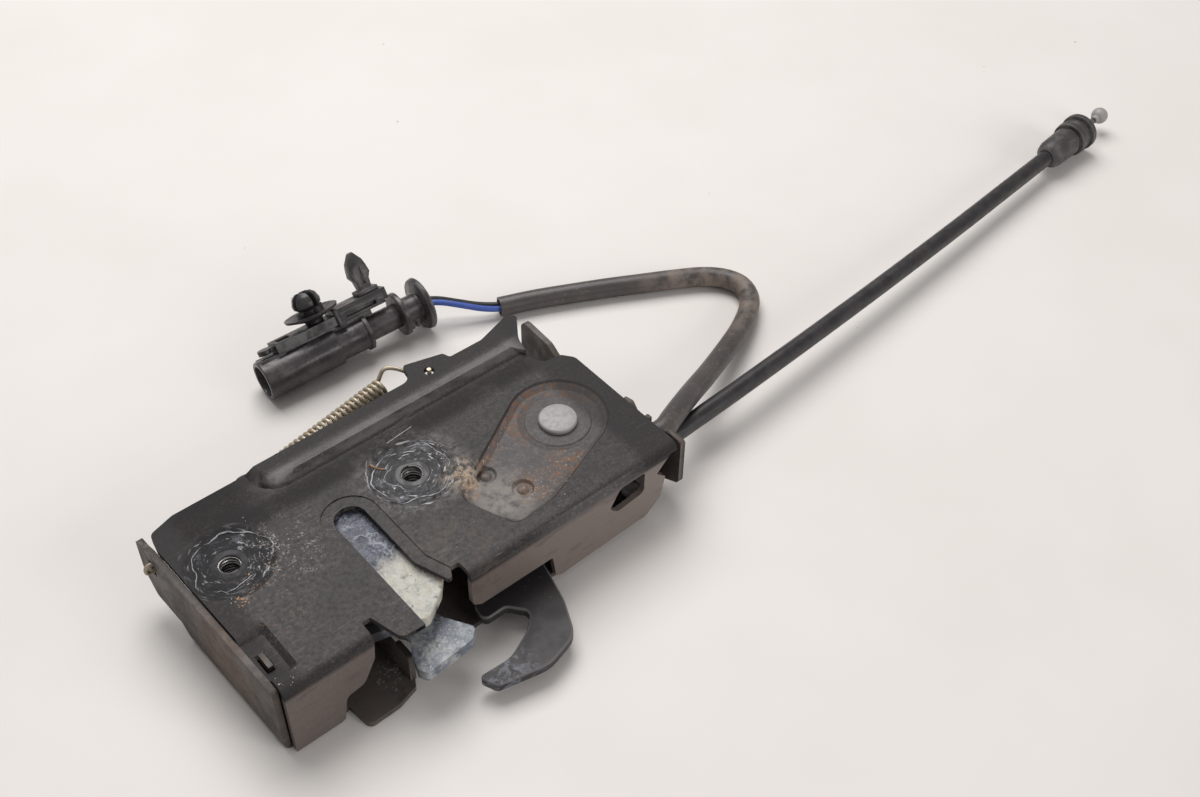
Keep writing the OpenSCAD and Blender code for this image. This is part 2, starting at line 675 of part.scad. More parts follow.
// claw: hub, tail for the lift spring and the jaw finger that shows in the mouth
module claw_outline() {
    translate([claw_x, claw_y]) circle(r = claw_pin_r + 5);
    shape([[claw_x + 2, claw_y - 9], [30, 8, 6], [39.6, 5.5, 3], [41.8, 0, 2], [39, -4.6, 4],
        [36.6, -11.2, 1.6],
        [38.2, -14.2, 1.6], [47, -13.4, 8], [55, -12.8, 1.5], [58.2, -9.6, 1.4], [53, -1, 7],
        [50.4, 6, 5], [52.5, 20, 10],
        [52, 40, 4], [47.5, 45.5, 1.2], [49.5, 50, 2], [44, 54, 6],
        [tail_hole[0] + 4.6, tail_hole[1] - 8, 10],
        [tail_hole[0] + tail_r, tail_hole[1] + tail_r, tail_r - 0.1],
        [tail_hole[0] - tail_r, tail_hole[1] + tail_r, tail_r - 0.1],
        [tail_hole[0] - 4.4, tail_hole[1] - 12, 6],
        [30, 40, 12], [claw_x - 6, claw_y + 8]]);
}

module claw_plate() color("#7f8794") at_frame() difference() {
    union() {
        slab(claw_z, claw_t) claw_outline();
        post([claw_x, claw_y], claw_pin_r + 4, claw_z, cover_z);
    }
    post([claw_x, claw_y], claw_pin_r + run_gap, claw_z - eps, cover_z + eps);
    post(tail_hole, hook_hole_r, claw_z - eps, claw_z + claw_t + eps);
}

// moulded cover that fills the slot and takes the striker's push
module claw_cover() color("#8e95a5") at_frame() difference() {
    slab(cover_z, cover_t) union() {
        translate([claw_x, claw_y]) circle(r = claw_pin_r + 2.8);
        shape([[claw_x + 3, claw_y - 8], [33, 11, 4], [40.6, 6.5, 4], [42, -2.6, 2], [46.4, -4.2, 2],
            [54.6, 1.2, 3],
            [59, 6.4, 2], [58.6, 14, 6], [57, 44, 4.5], [50, 49, 5], [41.5, 45, 5], [39.5, 30, 10],
            [claw_x - 2, claw_y + 8]]);
    }
    post([claw_x, claw_y], claw_pin_r + run_gap, cover_z - eps, cover_z + cover_t + eps);
}

module pawl() color("#5c5854") at_frame() difference() {
    slab(claw_z, claw_t) union() {
        translate([right_hole_x, right_hole_y]) circle(r = bush_r + 4.5);
        shape([[right_hole_x - 10, right_hole_y + 2], [61, 52, 5], [58.6, 57.5, 1], [59.4, 63.2, 2.2],
            [64.8, 63.2, 2.2],
            [right_hole_x + 4, right_hole_y + 10]]);
        shape([[right_hole_x + 2, right_hole_y - 9], [90, pawl_tail_y - 5.6, 6],
            [99, pawl_tail_y - 4.6, 2], [99, pawl_tail_y, 1],
            [86, pawl_tail_y, 4], [right_hole_x + 4, right_hole_y + 8]]);
    }
    post([right_hole_x, right_hole_y], bush_r + run_gap, claw_z - eps, claw_z + claw_t + eps);
    post(pawl_hole, hook_hole_r, claw_z - eps, claw_z + claw_t + eps);
}

// release lever: the cable arm runs towards the fold, the push arm towards the pawl's tail
module release_lever() color("#4b4845") at_frame() difference() {
    union() {
        slab(lever_z, lever_t) union() {
            translate([rivet_x, rivet_y]) circle(r = rivet_r + 5.5);
            shape([[rivet_x - 9.5, rivet_y - 4], [nipple_at[0] - 7.6, nipple_at[1] + 3, 5],
                [lever_tip[0] - tip_side, lever_tip[1] - tip_side, lever_tip_r],
                [lever_tip[0] + tip_side, lever_tip[1] - tip_side, lever_tip_r],
                [nipple_at[0] + 8, nipple_at[1] + 4, 5], [rivet_x + 9, rivet_y - 2]]);
            shape([[rivet_x - 4, rivet_y + 9.5], [lever_push[0] + 1, lever_push[1] + 4.4, 3.4],
                [lever_push[0] - 3.8, lever_push[1] - 2, 3.4], [rivet_x - 9, rivet_y - 3]]);
        }
        post(lever_push, lever_push_r, lever_top - eps, claw_z + claw_t + 0.4);
    }
    post([rivet_x, rivet_y], rivet_r + run_gap, lever_z - eps, lever_top + eps);
    // the nipple's slot runs along the arm
    for (s = [-1, 0, 1])
        post([nipple_at[0] - 0.22 * s, nipple_at[1] + s], nipple_r + nipple_play, lever_z - eps,
            lever_top + eps);
    post(lever_tip, stud_shank_r, lever_z - eps, lever_top + eps);
}

// shouldered stud riveted into the lever's tip
module release_stud() color("#b9bab8") at_frame() translate([lever_tip[0], lever_tip[1],
    0]) rotate_extrude()
    polygon([[0, lever_z + 0.2], [stud_shank_r, lever_z + 0.2], [stud_shank_r, lever_top],
        [stud_head_r, lever_top],
        [stud_head_r, lever_top + stud_head_t - 0.4], [stud_head_r - 0.4, lever_top + stud_head_t],
        [1.5, lever_top + stud_head_t], [1.1, lever_top + 0.6], [0, lever_top + 0.6]]);

module safety_hook() color("#2a292b") at_frame() difference() {
    slab(hook_z, hook_t) union() {
        translate([hook_x, hook_y]) circle(r = hook_pin_r + 6);
        shape([[hook_x + 8.5, hook_y - 5], [hook_x + 3, 8, 10], [92.3, -1, 16], [89, -13, 16],
            [83.4, -25, 8], [71, -28.4, 12],
            [54.4, -24.6, 2.4], [51.8, -18.4, 1.3], [63.6, -19, 12], [73, -14.6, 9], [78.4, -9.8, 2.6],
            [73.6, -3.7, 2.4], [65, -3.8, 2.4], [66, 2, 3], [74, 12, 8], [hook_x - 9, hook_y - 3]], 7);
    }
    post([hook_x, hook_y], hook_pin_r + run_gap, hook_z - eps, hook_z + hook_t + eps);
}

// extension spring outside the case, from the front plate's tab to the claw's tail
lift_from = [90, 82.8, 25.2];
lift_to = [44, 78.4, 20.6];
tab_under = plate_z + strip_rise - spring_wire;

module lift_spring() color("#a99b84") at_frame() {
    r = (lift_spring_od - spring_wire) / 2;
    line = spring_line(lift_from, lift_to, r, lift_spring_turns, 10);
    first = line[0];
    last = line[len(line) - 1];
    sweep(concat(
        [[tab_hole[0], tab_hole[1], strip_top + 0.8], [tab_hole[0], tab_hole[1] + 0.1, plate_z + 1.4],
            [tab_hole[0] - 0.3, tab_hole[1] + 1.6, tab_under - 1.2],
            [tab_hole[0] - 1.6, tab_hole[1] + 4, tab_under - 1.4],
            [tab_hole[0] - 4.6, tab_hole[1] + 8.4, tab_under],
            [tab_hole[0] - 7.4, tab_hole[1] + 11.4, tab_under + 0.8],
            [tab_hole[0] - 10, tab_hole[1] + 12.4, tab_under + 0.6]],
        line,
        [[41.4, 80.6, 20.8], [38.6, 81.2, 20.6], [tail_hole[0] + 0.3, tail_hole[1], 19.4],
            [tail_hole[0], tail_hole[1], claw_z + 1]]),
        spring_wire / 2, 6);
}

// extension spring inside the case, from the left wall's slit to the pawl
pawl_spring_from = [10, 66, 22.4];
pawl_spring_to = [48, 65.4, 22.4];

module pawl_spring() color("#a99b84") at_frame() {
    r = (pawl_spring_od - spring_wire) / 2;
    line = spring_line(pawl_spring_from, pawl_spring_to, r, pawl_spring_turns, 8);
    sweep(concat(
        [[-2.6, 66.4, 20.2], [-5.6, 66.4, 20.4], [-6.2, 66.3, 22], [-5, 66.2, 23.6], [2, 66, 23.6],
        [8, 65.4, 24]],
        line,
        [[52, 63.2, 22], [58, 61.4, 21], [pawl_hole[0] - 0.6, pawl_hole[1] + 0.2, 20.4],
        [pawl_hole[0], pawl_hole[1], 19],
            [pawl_hole[0], pawl_hole[1], claw_z + 1]]),
        spring_wire / 2, 6);
}

// torsion spring that returns the release lever, wound on the main rivet
module release_spring() color("#8d8273") at_frame() {
    line = coil_line([rivet_x, rivet_y], rivet_r + 1.6, lever_top + 1.2, 1.8, 3, 14, 60);
    sweep(concat([[rivet_x + 9, rivet_y + 14, lever_top + 1.2],
        [rivet_x + 6, rivet_y + 9.6, lever_top + 1.2]], line,
        [[rivet_x - 1, rivet_y + 10, lever_top + 6.6],
        [rivet_x - 5, rivet_y + 14, lever_top + 6.6]]), 0.8, 6);
}

// torsion spring that returns the safety hook
module hook_spring() color("#8d8273") at_frame() {
    top = hook_z + hook_t;
    line = coil_line([hook_x, hook_y], hook_pin_r + 1, top + 1, 1.2, 2, 14, 200);
    sweep(concat([[hook_x - 9, hook_y + 2, top + 1], [hook_x - 6.4, hook_y + 0.6, top + 1]], line,
        [[hook_x - 4.6, hook_y - 5, top + 3.2], [hook_x - 2, hook_y - 9, top + 3.2]]), 0.55, 6);
}

module switch_body() color("#1d1d1f") at_frame() difference() {
    slab(switch_z, switch_h) shape([[switch_x, switch_y, 1], [switch_x + switch_w, switch_y, 1],
        [switch_x + switch_w, switch_y + switch_d, 2], [switch_x, switch_y + switch_d, 2]]);
    translate([plunger_x, switch_y - eps, claw_z + claw_t / 2]) rotate([-90, 0, 0])
        cylinder(r = plunger_r + run_gap, h = 10 + eps);
    for (x = [switch_x + 3, switch_x + switch_w - 3])
        post([x, switch_y + switch_d - 3], 1.5, switch_z - eps, switch_z + switch_h + eps);
}

module switch_cover() color("#242427") at_frame() difference() {
    slab(switch_z + switch_h, 1.4) shape([[switch_x, switch_y, 1], [switch_x + switch_w, switch_y, 1],
        [switch_x + switch_w, switch_y + switch_d, 2], [switch_x, switch_y + switch_d, 2]]);
    for (x = [switch_x + 3, switch_x + switch_w - 3])
        post([x, switch_y + switch_d - 3], 1.5, switch_z, case_h);
}

module switch_screws() color("#9a9892") at_frame()
    for (x = [switch_x + 3, switch_x + switch_w - 3])
        translate([x, switch_y + switch_d - 3, 0]) {
            translate([0, 0, 0.4]) cylinder(r = 1.5, h = switch_z + switch_h + 1);
            translate([0, 0, switch_z + switch_h + 1.4]) cylinder(r1 = 2.6, r2 = 2, h = 1.2);
            translate([0, 0, switch_z + switch_h + 0.4]) cylinder(r = 1.5, h = 1.2);
        }

module switch_plunger() color("#d8d4c8") at_frame() {
    translate([plunger_x, pawl_tail_y + move_gap + plunger_r, claw_z + claw_t / 2]) rotate([-90, 0, 0])
        cylinder(r = plunger_r, h = switch_y + 7 - pawl_tail_y - move_gap - plunger_r);
    translate([plunger_x, pawl_tail_y + move_gap + plunger_r, claw_z + claw_t / 2]) rotate([90, 0,
        0]) rotate_extrude()
        polygon(concat([[0, 0]], arc([0, 0], plunger_r, 0, 90, 8)));
}

module switch_lead() color("#29282a") at_frame() sweep(lead_route, sleeve_d / 2, 10);

module wiring_sleeve() color("#333133") at_frame()
    hollow_sweep(sleeve_route, sleeve_d / 2, sleeve_d / 2 - sleeve_wall, 10);

module wire_blue() color("#3f6cc4") at_frame() sweep(blue_route, lead_wire_d / 2, 8);

module wire_black() color("#222124") at_frame() sweep(black_route, lead_wire_d / 2, 8);

// ferrule that seats the cable's sheath in the end bracket
module cable_ferrule() color("#2b2a2c") at_frame()
    along(ferrule_at, cable_route[0] - ferrule_at) rotate_extrude()
        polygon([[cable_bore / 2, 0], [ferrule_r, 0], [ferrule_r, 2.6], [ferrule_groove_r, 2.6],
            [ferrule_groove_r, 5.4], [ferrule_r, 5.4], [ferrule_r, 6.4], [cable_d / 2, 7.4],
            [cable_bore / 2, 7.4]]);

module cable_outer() color("#242325") at_frame() hollow_sweep(cable_route, cable_d / 2, cable_bore / 2, 10);

module cable_wire() color("#a9a49a") at_frame()
    sweep(concat([wire_start, wire_bend], cable_route, [cable_end + cable_dir, wire_end]), wire_d / 2, 8);

module lever_nipple() color("#b5b6b4") at_frame() difference() {
    post(nipple_at, nipple_r, lever_z + 0.4, lever_z + 7);
    along(wire_start, wire_bend - wire_start) cylinder(r = wire_d / 2, h = 8);
}

module ball_nipple() color("#b9babb") at_frame() along(wire_end, cable_dir) difference() {
    union() {
        translate([0, 0, ball_d / 2 - 1.5]) sphere(d = ball_d);
        translate([0, 0, -3]) cylinder(r = wire_d / 2 + 0.7, h = 3);
    }
    translate([0, 0, -4]) cylinder(r = wire_d / 2 + 0.02, h = 4);
}

// moulded end fitting with two flanges and a groove between them
module end_fitting() color("#3a3937") at_frame() along(cable_end, cable_dir) difference() {
    rotate_extrude() polygon([[cable_bore / 2, -2], [cable_d / 2 + 0.4, -2], [5.2, 0], [5.8, 2.4],
        [6, fitting_l - 12],
        [5, fitting_l - 11.6], [5, fitting_l - 10.4], [fitting_flange_r - 0.6, fitting_l - 10.4],
        [fitting_flange_r - 0.4, fitting_l - 7.6], [5.4, fitting_l - 7.2], [5.4, fitting_l - 3.6],
        [fitting_flange_r, fitting_l - 3], [fitting_flange_r, fitting_l - 0.8],
        [fitting_flange_r - 0.8, fitting_l],
        [cable_bore / 2, fitting_l]]);
    translate([0, 0, -3]) cylinder(r = cable_d / 2, h = 3);
}

module end_collar() color("#46443f") at_frame() along(cable_end, cable_dir) rotate_extrude()
    polygon([[5.4, fitting_l - 7], [6.6, fitting_l - 6.6], [6.8, fitting_l - 5.4], [6.6, fitting_l - 4.2],
        [5.4, fitting_l - 3.8]]);

// the connector's own frame: +X runs from its mouth to its rear
module at_connector() {
    at_frame() translate(connector_at) rotate([connector_roll, connector_tilt, connector_yaw]) children();
}

module turned(points) {
    rotate([0, 90, 0]) rotate_extrude() polygon(points);
}

module connector_housing() color("#1b1b1d") at_connector() difference() {
    union() {
        turned([[0, 0], [barrel_r - 0.3, 0], [barrel_r, 0.4], [barrel_r, barrel_l - 11],
            [barrel_r - 1, barrel_l - 11],
            [barrel_r - 1, barrel_l], [barrel_r - 0.2, barrel_l], [barrel_r - 0.2, barrel_l + 1.4],
            [neck_r, barrel_l + 1.4], [neck_r, barrel_l + 14], [0, barrel_l + 14]]);
        // rail that the clip carrier slides on, and the keys beside the mouth
        translate([9, -rail_w / 2 + 1.6, rail_z - 2]) cube([barrel_l - 4, rail_w - 3.2, 2]);
        for (s = [-1, 1])
            translate([1.5, s * 3.2 - 0.8, barrel_r - 1.8]) cube([9, 1.6, 1.6]);
        for (s = [-1, 1])
            translate([6, s * (barrel_r - 0.8) - 0.8, -1.2]) cube([barrel_l - 18, 1.6, 2.4]);
    }
    translate([-eps, 0, 0]) rotate([0, 90, 0]) cylinder(r = socket_r, h = 17 + eps);
    translate([barrel_l + 2, 0, 0]) rotate([0, 90, 0]) cylinder(r = neck_r - 1.4, h = 14);
    for (s = [-1, 1])
        translate([16, s * 2, 0]) rotate([0, 90, 0]) cylinder(r = 0.6, h = 8);
}

// rear cap with its two flanges and the teeth between them
module connector_cap() color("#202022") at_connector() {
    back = barrel_l + 14;
    difference() {
        union() {
            turned([[0, back], [neck_r + 0.6, back], [8.2, back + 0.4], [8.2, back + 2.2],
                [neck_r + 0.4, back + 2.6],
                [neck_r, back + 9], [rear_flange_r - 0.4, back + 9.4], [rear_flange_r, back + 11],
                [rear_flange_r - 0.6, back + 11.6], [neck_r + 1, back + 11.6], [0, back + 11.6]]);
            for (x = [back + 3.4, back + 5.4, back + 7.4])
                translate([x, -2, -neck_r - 2.4]) cube([1.1, 4, 3.4]);
        }
        translate([back - eps, 0, 0]) rotate([0, 90, 0]) cylinder(r = neck_r - 1.4, h = 20);
    }
}

module terminal_pins() color("#b08d4a") at_connector()
    for (s = [-1, 1])
        translate([5, s * 2, 0]) rotate([0, 90, 0]) cylinder(r = 0.6, h = 19);

module clip_carrier() color("#19191b") at_connector() {
    difference() {
        union() {
            translate([8, -rail_w / 2, rail_z]) cube([barrel_l + 3, rail_w, rail_h]);
            translate([box_x, -rail_w / 2 + 0.4, rail_z + 1]) cube([barrel_l + 12.6 - box_x,
                rail_w - 0.8, box_h - 1]);
            translate([box_x, -rail_w / 2 - 0.8, rail_z]) cube([1.4, rail_w + 1.6, box_h + 0.4]);
        }
        for (s = [-1, 1])
            translate([box_x + 4, s * (rail_w / 2 - 0.5) - 1.2, rail_z + 1]) cube([12, 2.4, 1.4]);
        translate([10, -2.6, rail_z + 1.2]) cube([5, 5.2, rail_h]);
        translate([barrel_l + 2, -rail_w / 2 + 2, rail_z + 1.6]) cube([12, rail_w - 4, 2.2]);
    }
    // small lug at the mouth end, and the two claws that grip the barrel
    translate([5, -2, rail_z + 1]) cube([3.2, 4, 1.8]);
    translate([5, 0, rail_z + 1]) cylinder(r = 2.6, h = 1.8);
    for (s = [-1, 1])
        translate([box_x + 0.2, s * (rail_w / 2 + 0.3) - 0.5, rail_z - 1.5]) cube([2.6, 1, 1.9]);
}

// umbrella clip: dished disc, stem and a head split by a cross
module rosette_clip() color("#222122") at_connector() translate([rosette_x, 0, clip_z]) {
    rotate_extrude() polygon([[0, 0], [3.2, 0], [3.4, 1.4], [9.6, 3.4], [9.9, 4.2], [9.2, 4.3],
        [3.4, 2.6], [3.2, 5],
        [0, 5]]);
    difference() {
        rotate_extrude() polygon([[0, 4], [3.2, 4], [3.2, 5.4], [5, 6.8], [5.2, 8.2], [4.4, 10.4],
            [3, 11.6], [0, 12]]);
        for (a = [0, 90])
            rotate([0, 0, a + 20]) translate([-0.9, -7, 5.2]) cube([1.8, 14, 8]);
    }
    post([0, 0], 1.5, 4, 10.6);
    for (a = [0, 90])
        rotate([0, 0, a + 20]) translate([-0.6, -5.6, 2.6]) cube([1.2, 11.2, 3]);
}

// fir-tree stud with its split arrow head
module fir_tree_clip() color("#1a1a1c") at_connector() translate([tree_x, 0, rail_z + box_h]) difference() {
    union() {
        translate([-4, -3.4, 0]) cube([8, 6.8, 1.6]);
        rotate([90, 0, 0]) translate([0, 0, -2.4]) linear_extrude(4.8)
            shape([[-2.2, 1], [2.2, 1], [2.6, 5], [3.8, 7, 0.6], [3, 12, 1], [1, 15.4, 0.8],
                [-1, 15.4, 0.8],
                [-3, 12, 1], [-3.8, 7, 0.6], [-2.6, 5]]);
    }
    translate([-0.6, -4, 3.4]) cube([1.2, 8, 6.6]);
    // the head narrows to its tip on the other two sides too
    for (s = [-1, 1])
        translate([-6, s * 2.4, 10]) rotate([s * 20, 0, 0]) translate([0, s > 0 ? 0 : -4, 0]) cube([12,
            4, 12]);
}

front_plate();
back_plate();
weld_nut();
threaded_bush();
main_rivet();
claw_pin();
claw_circlip();
hook_pin();
pawl_spacer();
claw_plate();
claw_cover();
pawl();
release_lever();
release_stud();
safety_hook();
lift_spring();
pawl_spring();
release_spring();
hook_spring();
switch_body();
switch_cover();
switch_plunger();
switch_screws();
switch_lead();
wiring_sleeve();
wire_blue();
wire_black();
cable_ferrule();
cable_outer();
cable_wire();
lever_nipple();
ball_nipple();
end_fitting();
end_collar();
connector_housing();
connector_cap();
terminal_pins();
clip_carrier();
rosette_clip();
fir_tree_clip();
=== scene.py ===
import json
import math
import random
import bmesh
import bpy
from mathutils import Matrix, Vector, noise
from mathutils.bvhtree import BVHTree


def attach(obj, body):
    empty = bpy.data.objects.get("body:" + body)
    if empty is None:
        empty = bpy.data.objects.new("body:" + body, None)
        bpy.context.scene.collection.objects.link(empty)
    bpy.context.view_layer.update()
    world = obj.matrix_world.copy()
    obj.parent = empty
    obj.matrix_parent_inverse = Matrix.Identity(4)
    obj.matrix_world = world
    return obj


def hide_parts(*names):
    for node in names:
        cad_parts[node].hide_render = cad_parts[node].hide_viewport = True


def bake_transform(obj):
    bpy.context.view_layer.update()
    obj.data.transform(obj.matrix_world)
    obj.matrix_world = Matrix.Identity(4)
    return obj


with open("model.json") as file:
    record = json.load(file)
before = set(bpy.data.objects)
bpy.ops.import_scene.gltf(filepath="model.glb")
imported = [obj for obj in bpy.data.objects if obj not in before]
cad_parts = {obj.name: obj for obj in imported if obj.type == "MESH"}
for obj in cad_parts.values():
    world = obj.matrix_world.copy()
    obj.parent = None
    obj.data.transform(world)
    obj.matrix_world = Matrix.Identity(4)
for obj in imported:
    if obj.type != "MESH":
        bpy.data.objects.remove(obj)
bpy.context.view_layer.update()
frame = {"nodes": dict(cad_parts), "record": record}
scene = bpy.context.scene
nodes = frame["nodes"]
bodyOf = {n: body for body, names in frame["record"]["behaviour"]["bodies"].items() for n in names}
print("frame loaded with", len(nodes), "nodes")

mm = 0.001
tau = 2 * math.pi


# camera, table and light

camera = {
    "lens": 45.0,
    "sensor": 36,
    "near": 0.01,
    "far": 20,
    "place": (-0.1323, -0.2853, 0.3769),
    "azimuth": -40.92,
    "elevation": 45.64,
    "roll": 0.89,
}


def makeCamera(c):
    data = bpy.data.cameras.new("photoCamera")
    data.lens = c["lens"]
    data.sensor_width = c["sensor"]
    data.sensor_fit = "HORIZONTAL"
    data.clip_start = c["near"]
    data.clip_end = c["far"]
    a = math.radians(c["azimuth"])
    e = math.radians(c["elevation"])
    r = math.radians(c["roll"])
    back = Vector((math.sin(a) * math.cos(e), -math.cos(a) * math.cos(e), math.sin(e)))
    right = Vector((math.cos(a), math.sin(a), 0))
    up = back.cross(right)
    rolledRight = right * math.cos(r) + up * math.sin(r)
    rolledUp = up * math.cos(r) - right * math.sin(r)
    turn = Matrix((rolledRight, rolledUp, back)).transposed()
    obj = bpy.data.objects.new("photoCamera", data)
    obj.matrix_world = Matrix.Translation(Vector(c["place"])) @ turn.to_4x4()
    scene.collection.objects.link(obj)
    scene.camera = obj


makeCamera(camera)

light = {
    "world": 0.3,
    "ceiling": {"place": (0.3, 0.65, 1.25), "size": 1.05, "power": 18.5},
    "front": {"place": (0.53, -1.6, 0.68), "size": 0.9, "power": 12.0},
    "target": (0.04, 0.0, 0.0),
    "colour": (1, 0.985, 0.97),
}


def areaLamp(name, lamp):
    data = bpy.data.lights.new(name, "AREA")
    data.energy = lamp["power"]
    data.size = lamp["size"]
    data.color = light["colour"]
    made = bpy.data.objects.new(name, data)
    made.location = lamp["place"]
    aim = Vector(light["target"]) - Vector(lamp["place"])
    made.rotation_euler = aim.to_track_quat("-Z", "Y").to_euler()
    scene.collection.objects.link(made)


areaLamp("ceilingLamp", light["ceiling"])
areaLamp("frontLamp", light["front"])
world = bpy.data.worlds.new("studio")
scene.world = world
world.use_nodes = True
sky = world.node_tree.nodes["Background"]
sky.inputs["Color"].default_value = (*light["colour"], 1)
sky.inputs["Strength"].default_value = light["world"]
scene.view_settings.view_transform = "Standard"


# material building blocks, all on object coordinates in metres

def tone(r, g, b):
    out = []
    for v in (r, g, b):
        s = v / 255
        out.append(s / 12.92 if s <= 0.04045 else ((s + 0.055) / 1.055) ** 2.4)
    return (*out, 1)


class Finish:
    def __init__(self, name, colour, roughness, metallic=0.0):
        self.material = bpy.data.materials.new(name)
        self.material.use_nodes = True
        self.tree = self.material.node_tree
        self.tree.nodes.clear()
        output = self.node("ShaderNodeOutputMaterial")
        self.shader = self.node("ShaderNodeBsdfPrincipled")
        self.link(self.shader.outputs[0], output.inputs[0])
        self.shader.inputs["Base Color"].default_value = colour
        self.shader.inputs["Roughness"].default_value = roughness
        self.shader.inputs["Metallic"].default_value = metallic
        self.colour = colour
        self.rough = None
        self.roughBase = roughness
        self.height = None
        self.coords = self.node("ShaderNodeTexCoord").outputs["Object"]

    def node(self, kind):
        return self.tree.nodes.new(kind)

    def link(self, a, b):
        self.tree.links.new(a, b)

    def feed(self, value, socket):
        if isinstance(value, bpy.types.NodeSocket):
            self.link(value, socket)
        else:
            socket.default_value = value

    # a sum or product that may go past 1
    def plain(self, operation, a, b=0.0, c=0.0, clamp=False):
        n = self.node("ShaderNodeMath")
        n.operation = operation
        n.use_clamp = clamp
        for value, socket in zip((a, b, c), n.inputs):
            self.feed(value, socket)
        return n.outputs[0]

    def calc(self, operation, a, b):
        return self.plain(operation, a, b, clamp=True)

    def vector(self, operation, *values):
        n = self.node("ShaderNodeVectorMath")
        n.operation = operation
        for value, socket in zip(values, n.inputs):
            self.feed(value, socket)
        return n.outputs["Value" if operation in ("DISTANCE", "LENGTH") else "Vector"]

    def moved(self, place, stretch=(1, 1, 1)):
        n = self.node("ShaderNodeMapping")
        self.link(self.coords, n.inputs[0])
        n.inputs["Location"].default_value = place
        n.inputs["Scale"].default_value = stretch
        return n.outputs[0]

    def noise(self, place, scale, detail, roughness=0.5, distortion=0.0):
        n = self.node("ShaderNodeTexNoise")
        self.link(place, n.inputs["Vector"])
        n.inputs["Scale"].default_value = scale
        n.inputs["Detail"].default_value = detail
        n.inputs["Roughness"].default_value = roughness
        n.inputs["Distortion"].default_value = distortion
        return n

    def span(self, value, low, high):
        n = self.node("ShaderNodeMapRange")
        n.interpolation_type = "SMOOTHSTEP"
        self.feed(value, n.inputs[0])
        n.inputs[1].default_value = low
        n.inputs[2].default_value = high
        return n.outputs[0]

    # cloudy noise between two levels; size is the width of a patch in mm
    def cloud(self, size, low, high, detail=5, seed=0.0, stretch=(1, 1, 1), twist=0.0):
        place = self.moved((seed, seed * 0.7, seed * 0.3), stretch)
        n = self.noise(place, 1 / (size * mm), detail, 0.62, twist)
        return self.span(n.outputs["Fac"], low, high)

    # scattered specks; share is how large a speck is against its cell
    def specks(self, cell, share, seed=0.0):
        n = self.node("ShaderNodeTexVoronoi")
        self.link(self.moved((seed, seed, seed)), n.inputs["Vector"])
        n.inputs["Scale"].default_value = 1 / (cell * mm)
        n.inputs["Randomness"].default_value = 1
        return self.span(n.outputs["Distance"], share, share * 0.5)

    # 1 within radius of a point (mm), fading over soft
    def spot(self, point, radius, soft, wobble=0.0, grain=4.0):
        distance = self.vector("DISTANCE", self.coords, [c * mm for c in point])
        if wobble:
            n = self.noise(self.coords, 1 / (grain * mm), 3)
            distance = self.plain("MULTIPLY_ADD", n.outputs["Fac"], wobble * mm, distance)
            radius = radius + wobble / 2
        return self.span(distance, (radius + soft) * mm, (radius - soft) * mm)

    def ring(self, point, radius, width, wobble=1.5):
        outer = self.spot(point, radius + width, width * 0.6, wobble)
        inner = self.spot(point, radius - width, width * 0.6, wobble)
        return self.calc("SUBTRACT", outer, inner)

    # 1 where an axis lies between two places (mm), fading over soft
    def band(self, axis, low, high, soft=0.5):
        n = self.node("ShaderNodeSeparateXYZ")
        self.link(self.coords, n.inputs[0])
        value = n.outputs["XYZ".index(axis)]
        rise = self.span(value, (low - soft) * mm, (low + soft) * mm)
        fall = self.span(value, (high + soft) * mm, (high - soft) * mm)
        return self.calc("MULTIPLY", rise, fall)

    # strokes that run round a point: noise drawn out along the circle
    def strokes(self, point, turns, across, low, high, seed=0.0):
        away = self.vector("SUBTRACT", self.coords, [c * mm for c in point])
        flat = self.vector("MULTIPLY", away, (1, 1, 0))
        length = self.vector("LENGTH", flat)
        parts = self.node("ShaderNodeSeparateXYZ")
        self.link(self.vector("NORMALIZE", flat), parts.inputs[0])
        place = self.node("ShaderNodeCombineXYZ")
        self.link(self.plain("MULTIPLY", parts.outputs[0], turns), place.inputs[0])
        self.link(self.plain("MULTIPLY", parts.outputs[1], turns), place.inputs[1])
        self.link(self.plain("MULTIPLY_ADD", length, 1 / (across * mm), seed), place.inputs[2])
        n = self.noise(place.outputs[0], 1, 5, 0.6, 0.6)
        return self.span(n.outputs["Fac"], low, high)

    # crinkled skin: thin crests along the borders of uneven cells
    def wrinkle(self, cell, width):
        n = self.noise(self.coords, 1 / (cell * 1.5 * mm), 3)
        bent = self.vector("MULTIPLY_ADD", n.outputs["Color"], [cell * 1.4 * mm] * 3, self.coords)
        cells = self.node("ShaderNodeTexVoronoi")
        cells.feature = "DISTANCE_TO_EDGE"
        self.link(bent, cells.inputs["Vector"])
        cells.inputs["Scale"].default_value = 1 / (cell * mm)
        return self.span(cells.outputs["Distance"], width, width * 0.25)

    def both(self, *masks):
        out = masks[0]
        for mask in masks[1:]:
            out = self.calc("MULTIPLY", out, mask)
        return out

    def worn(self):
        n = self.node("ShaderNodeAttribute")
        n.attribute_name = "wear"
        return n.outputs["Fac"]

    def coat(self, mask, colour, strength=1.0):
        n = self.node("ShaderNodeMix")
        n.data_type = "RGBA"
        self.feed(self.calc("MULTIPLY", mask, strength), n.inputs[0])
        self.feed(self.colour, n.inputs[6])
        self.feed(colour, n.inputs[7])
        self.colour = n.outputs[2]

    def gloss(self, mask, roughness):
        n = self.node("ShaderNodeMix")
        self.feed(mask, n.inputs[0])
        self.feed(self.roughBase if self.rough is None else self.rough, n.inputs[2])
        n.inputs[3].default_value = roughness
        self.rough = n.outputs[0]

    def lift(self, mask, amount):
        self.height = self.plain("MULTIPLY_ADD", mask, amount, 0.0 if self.height is None else self.height)

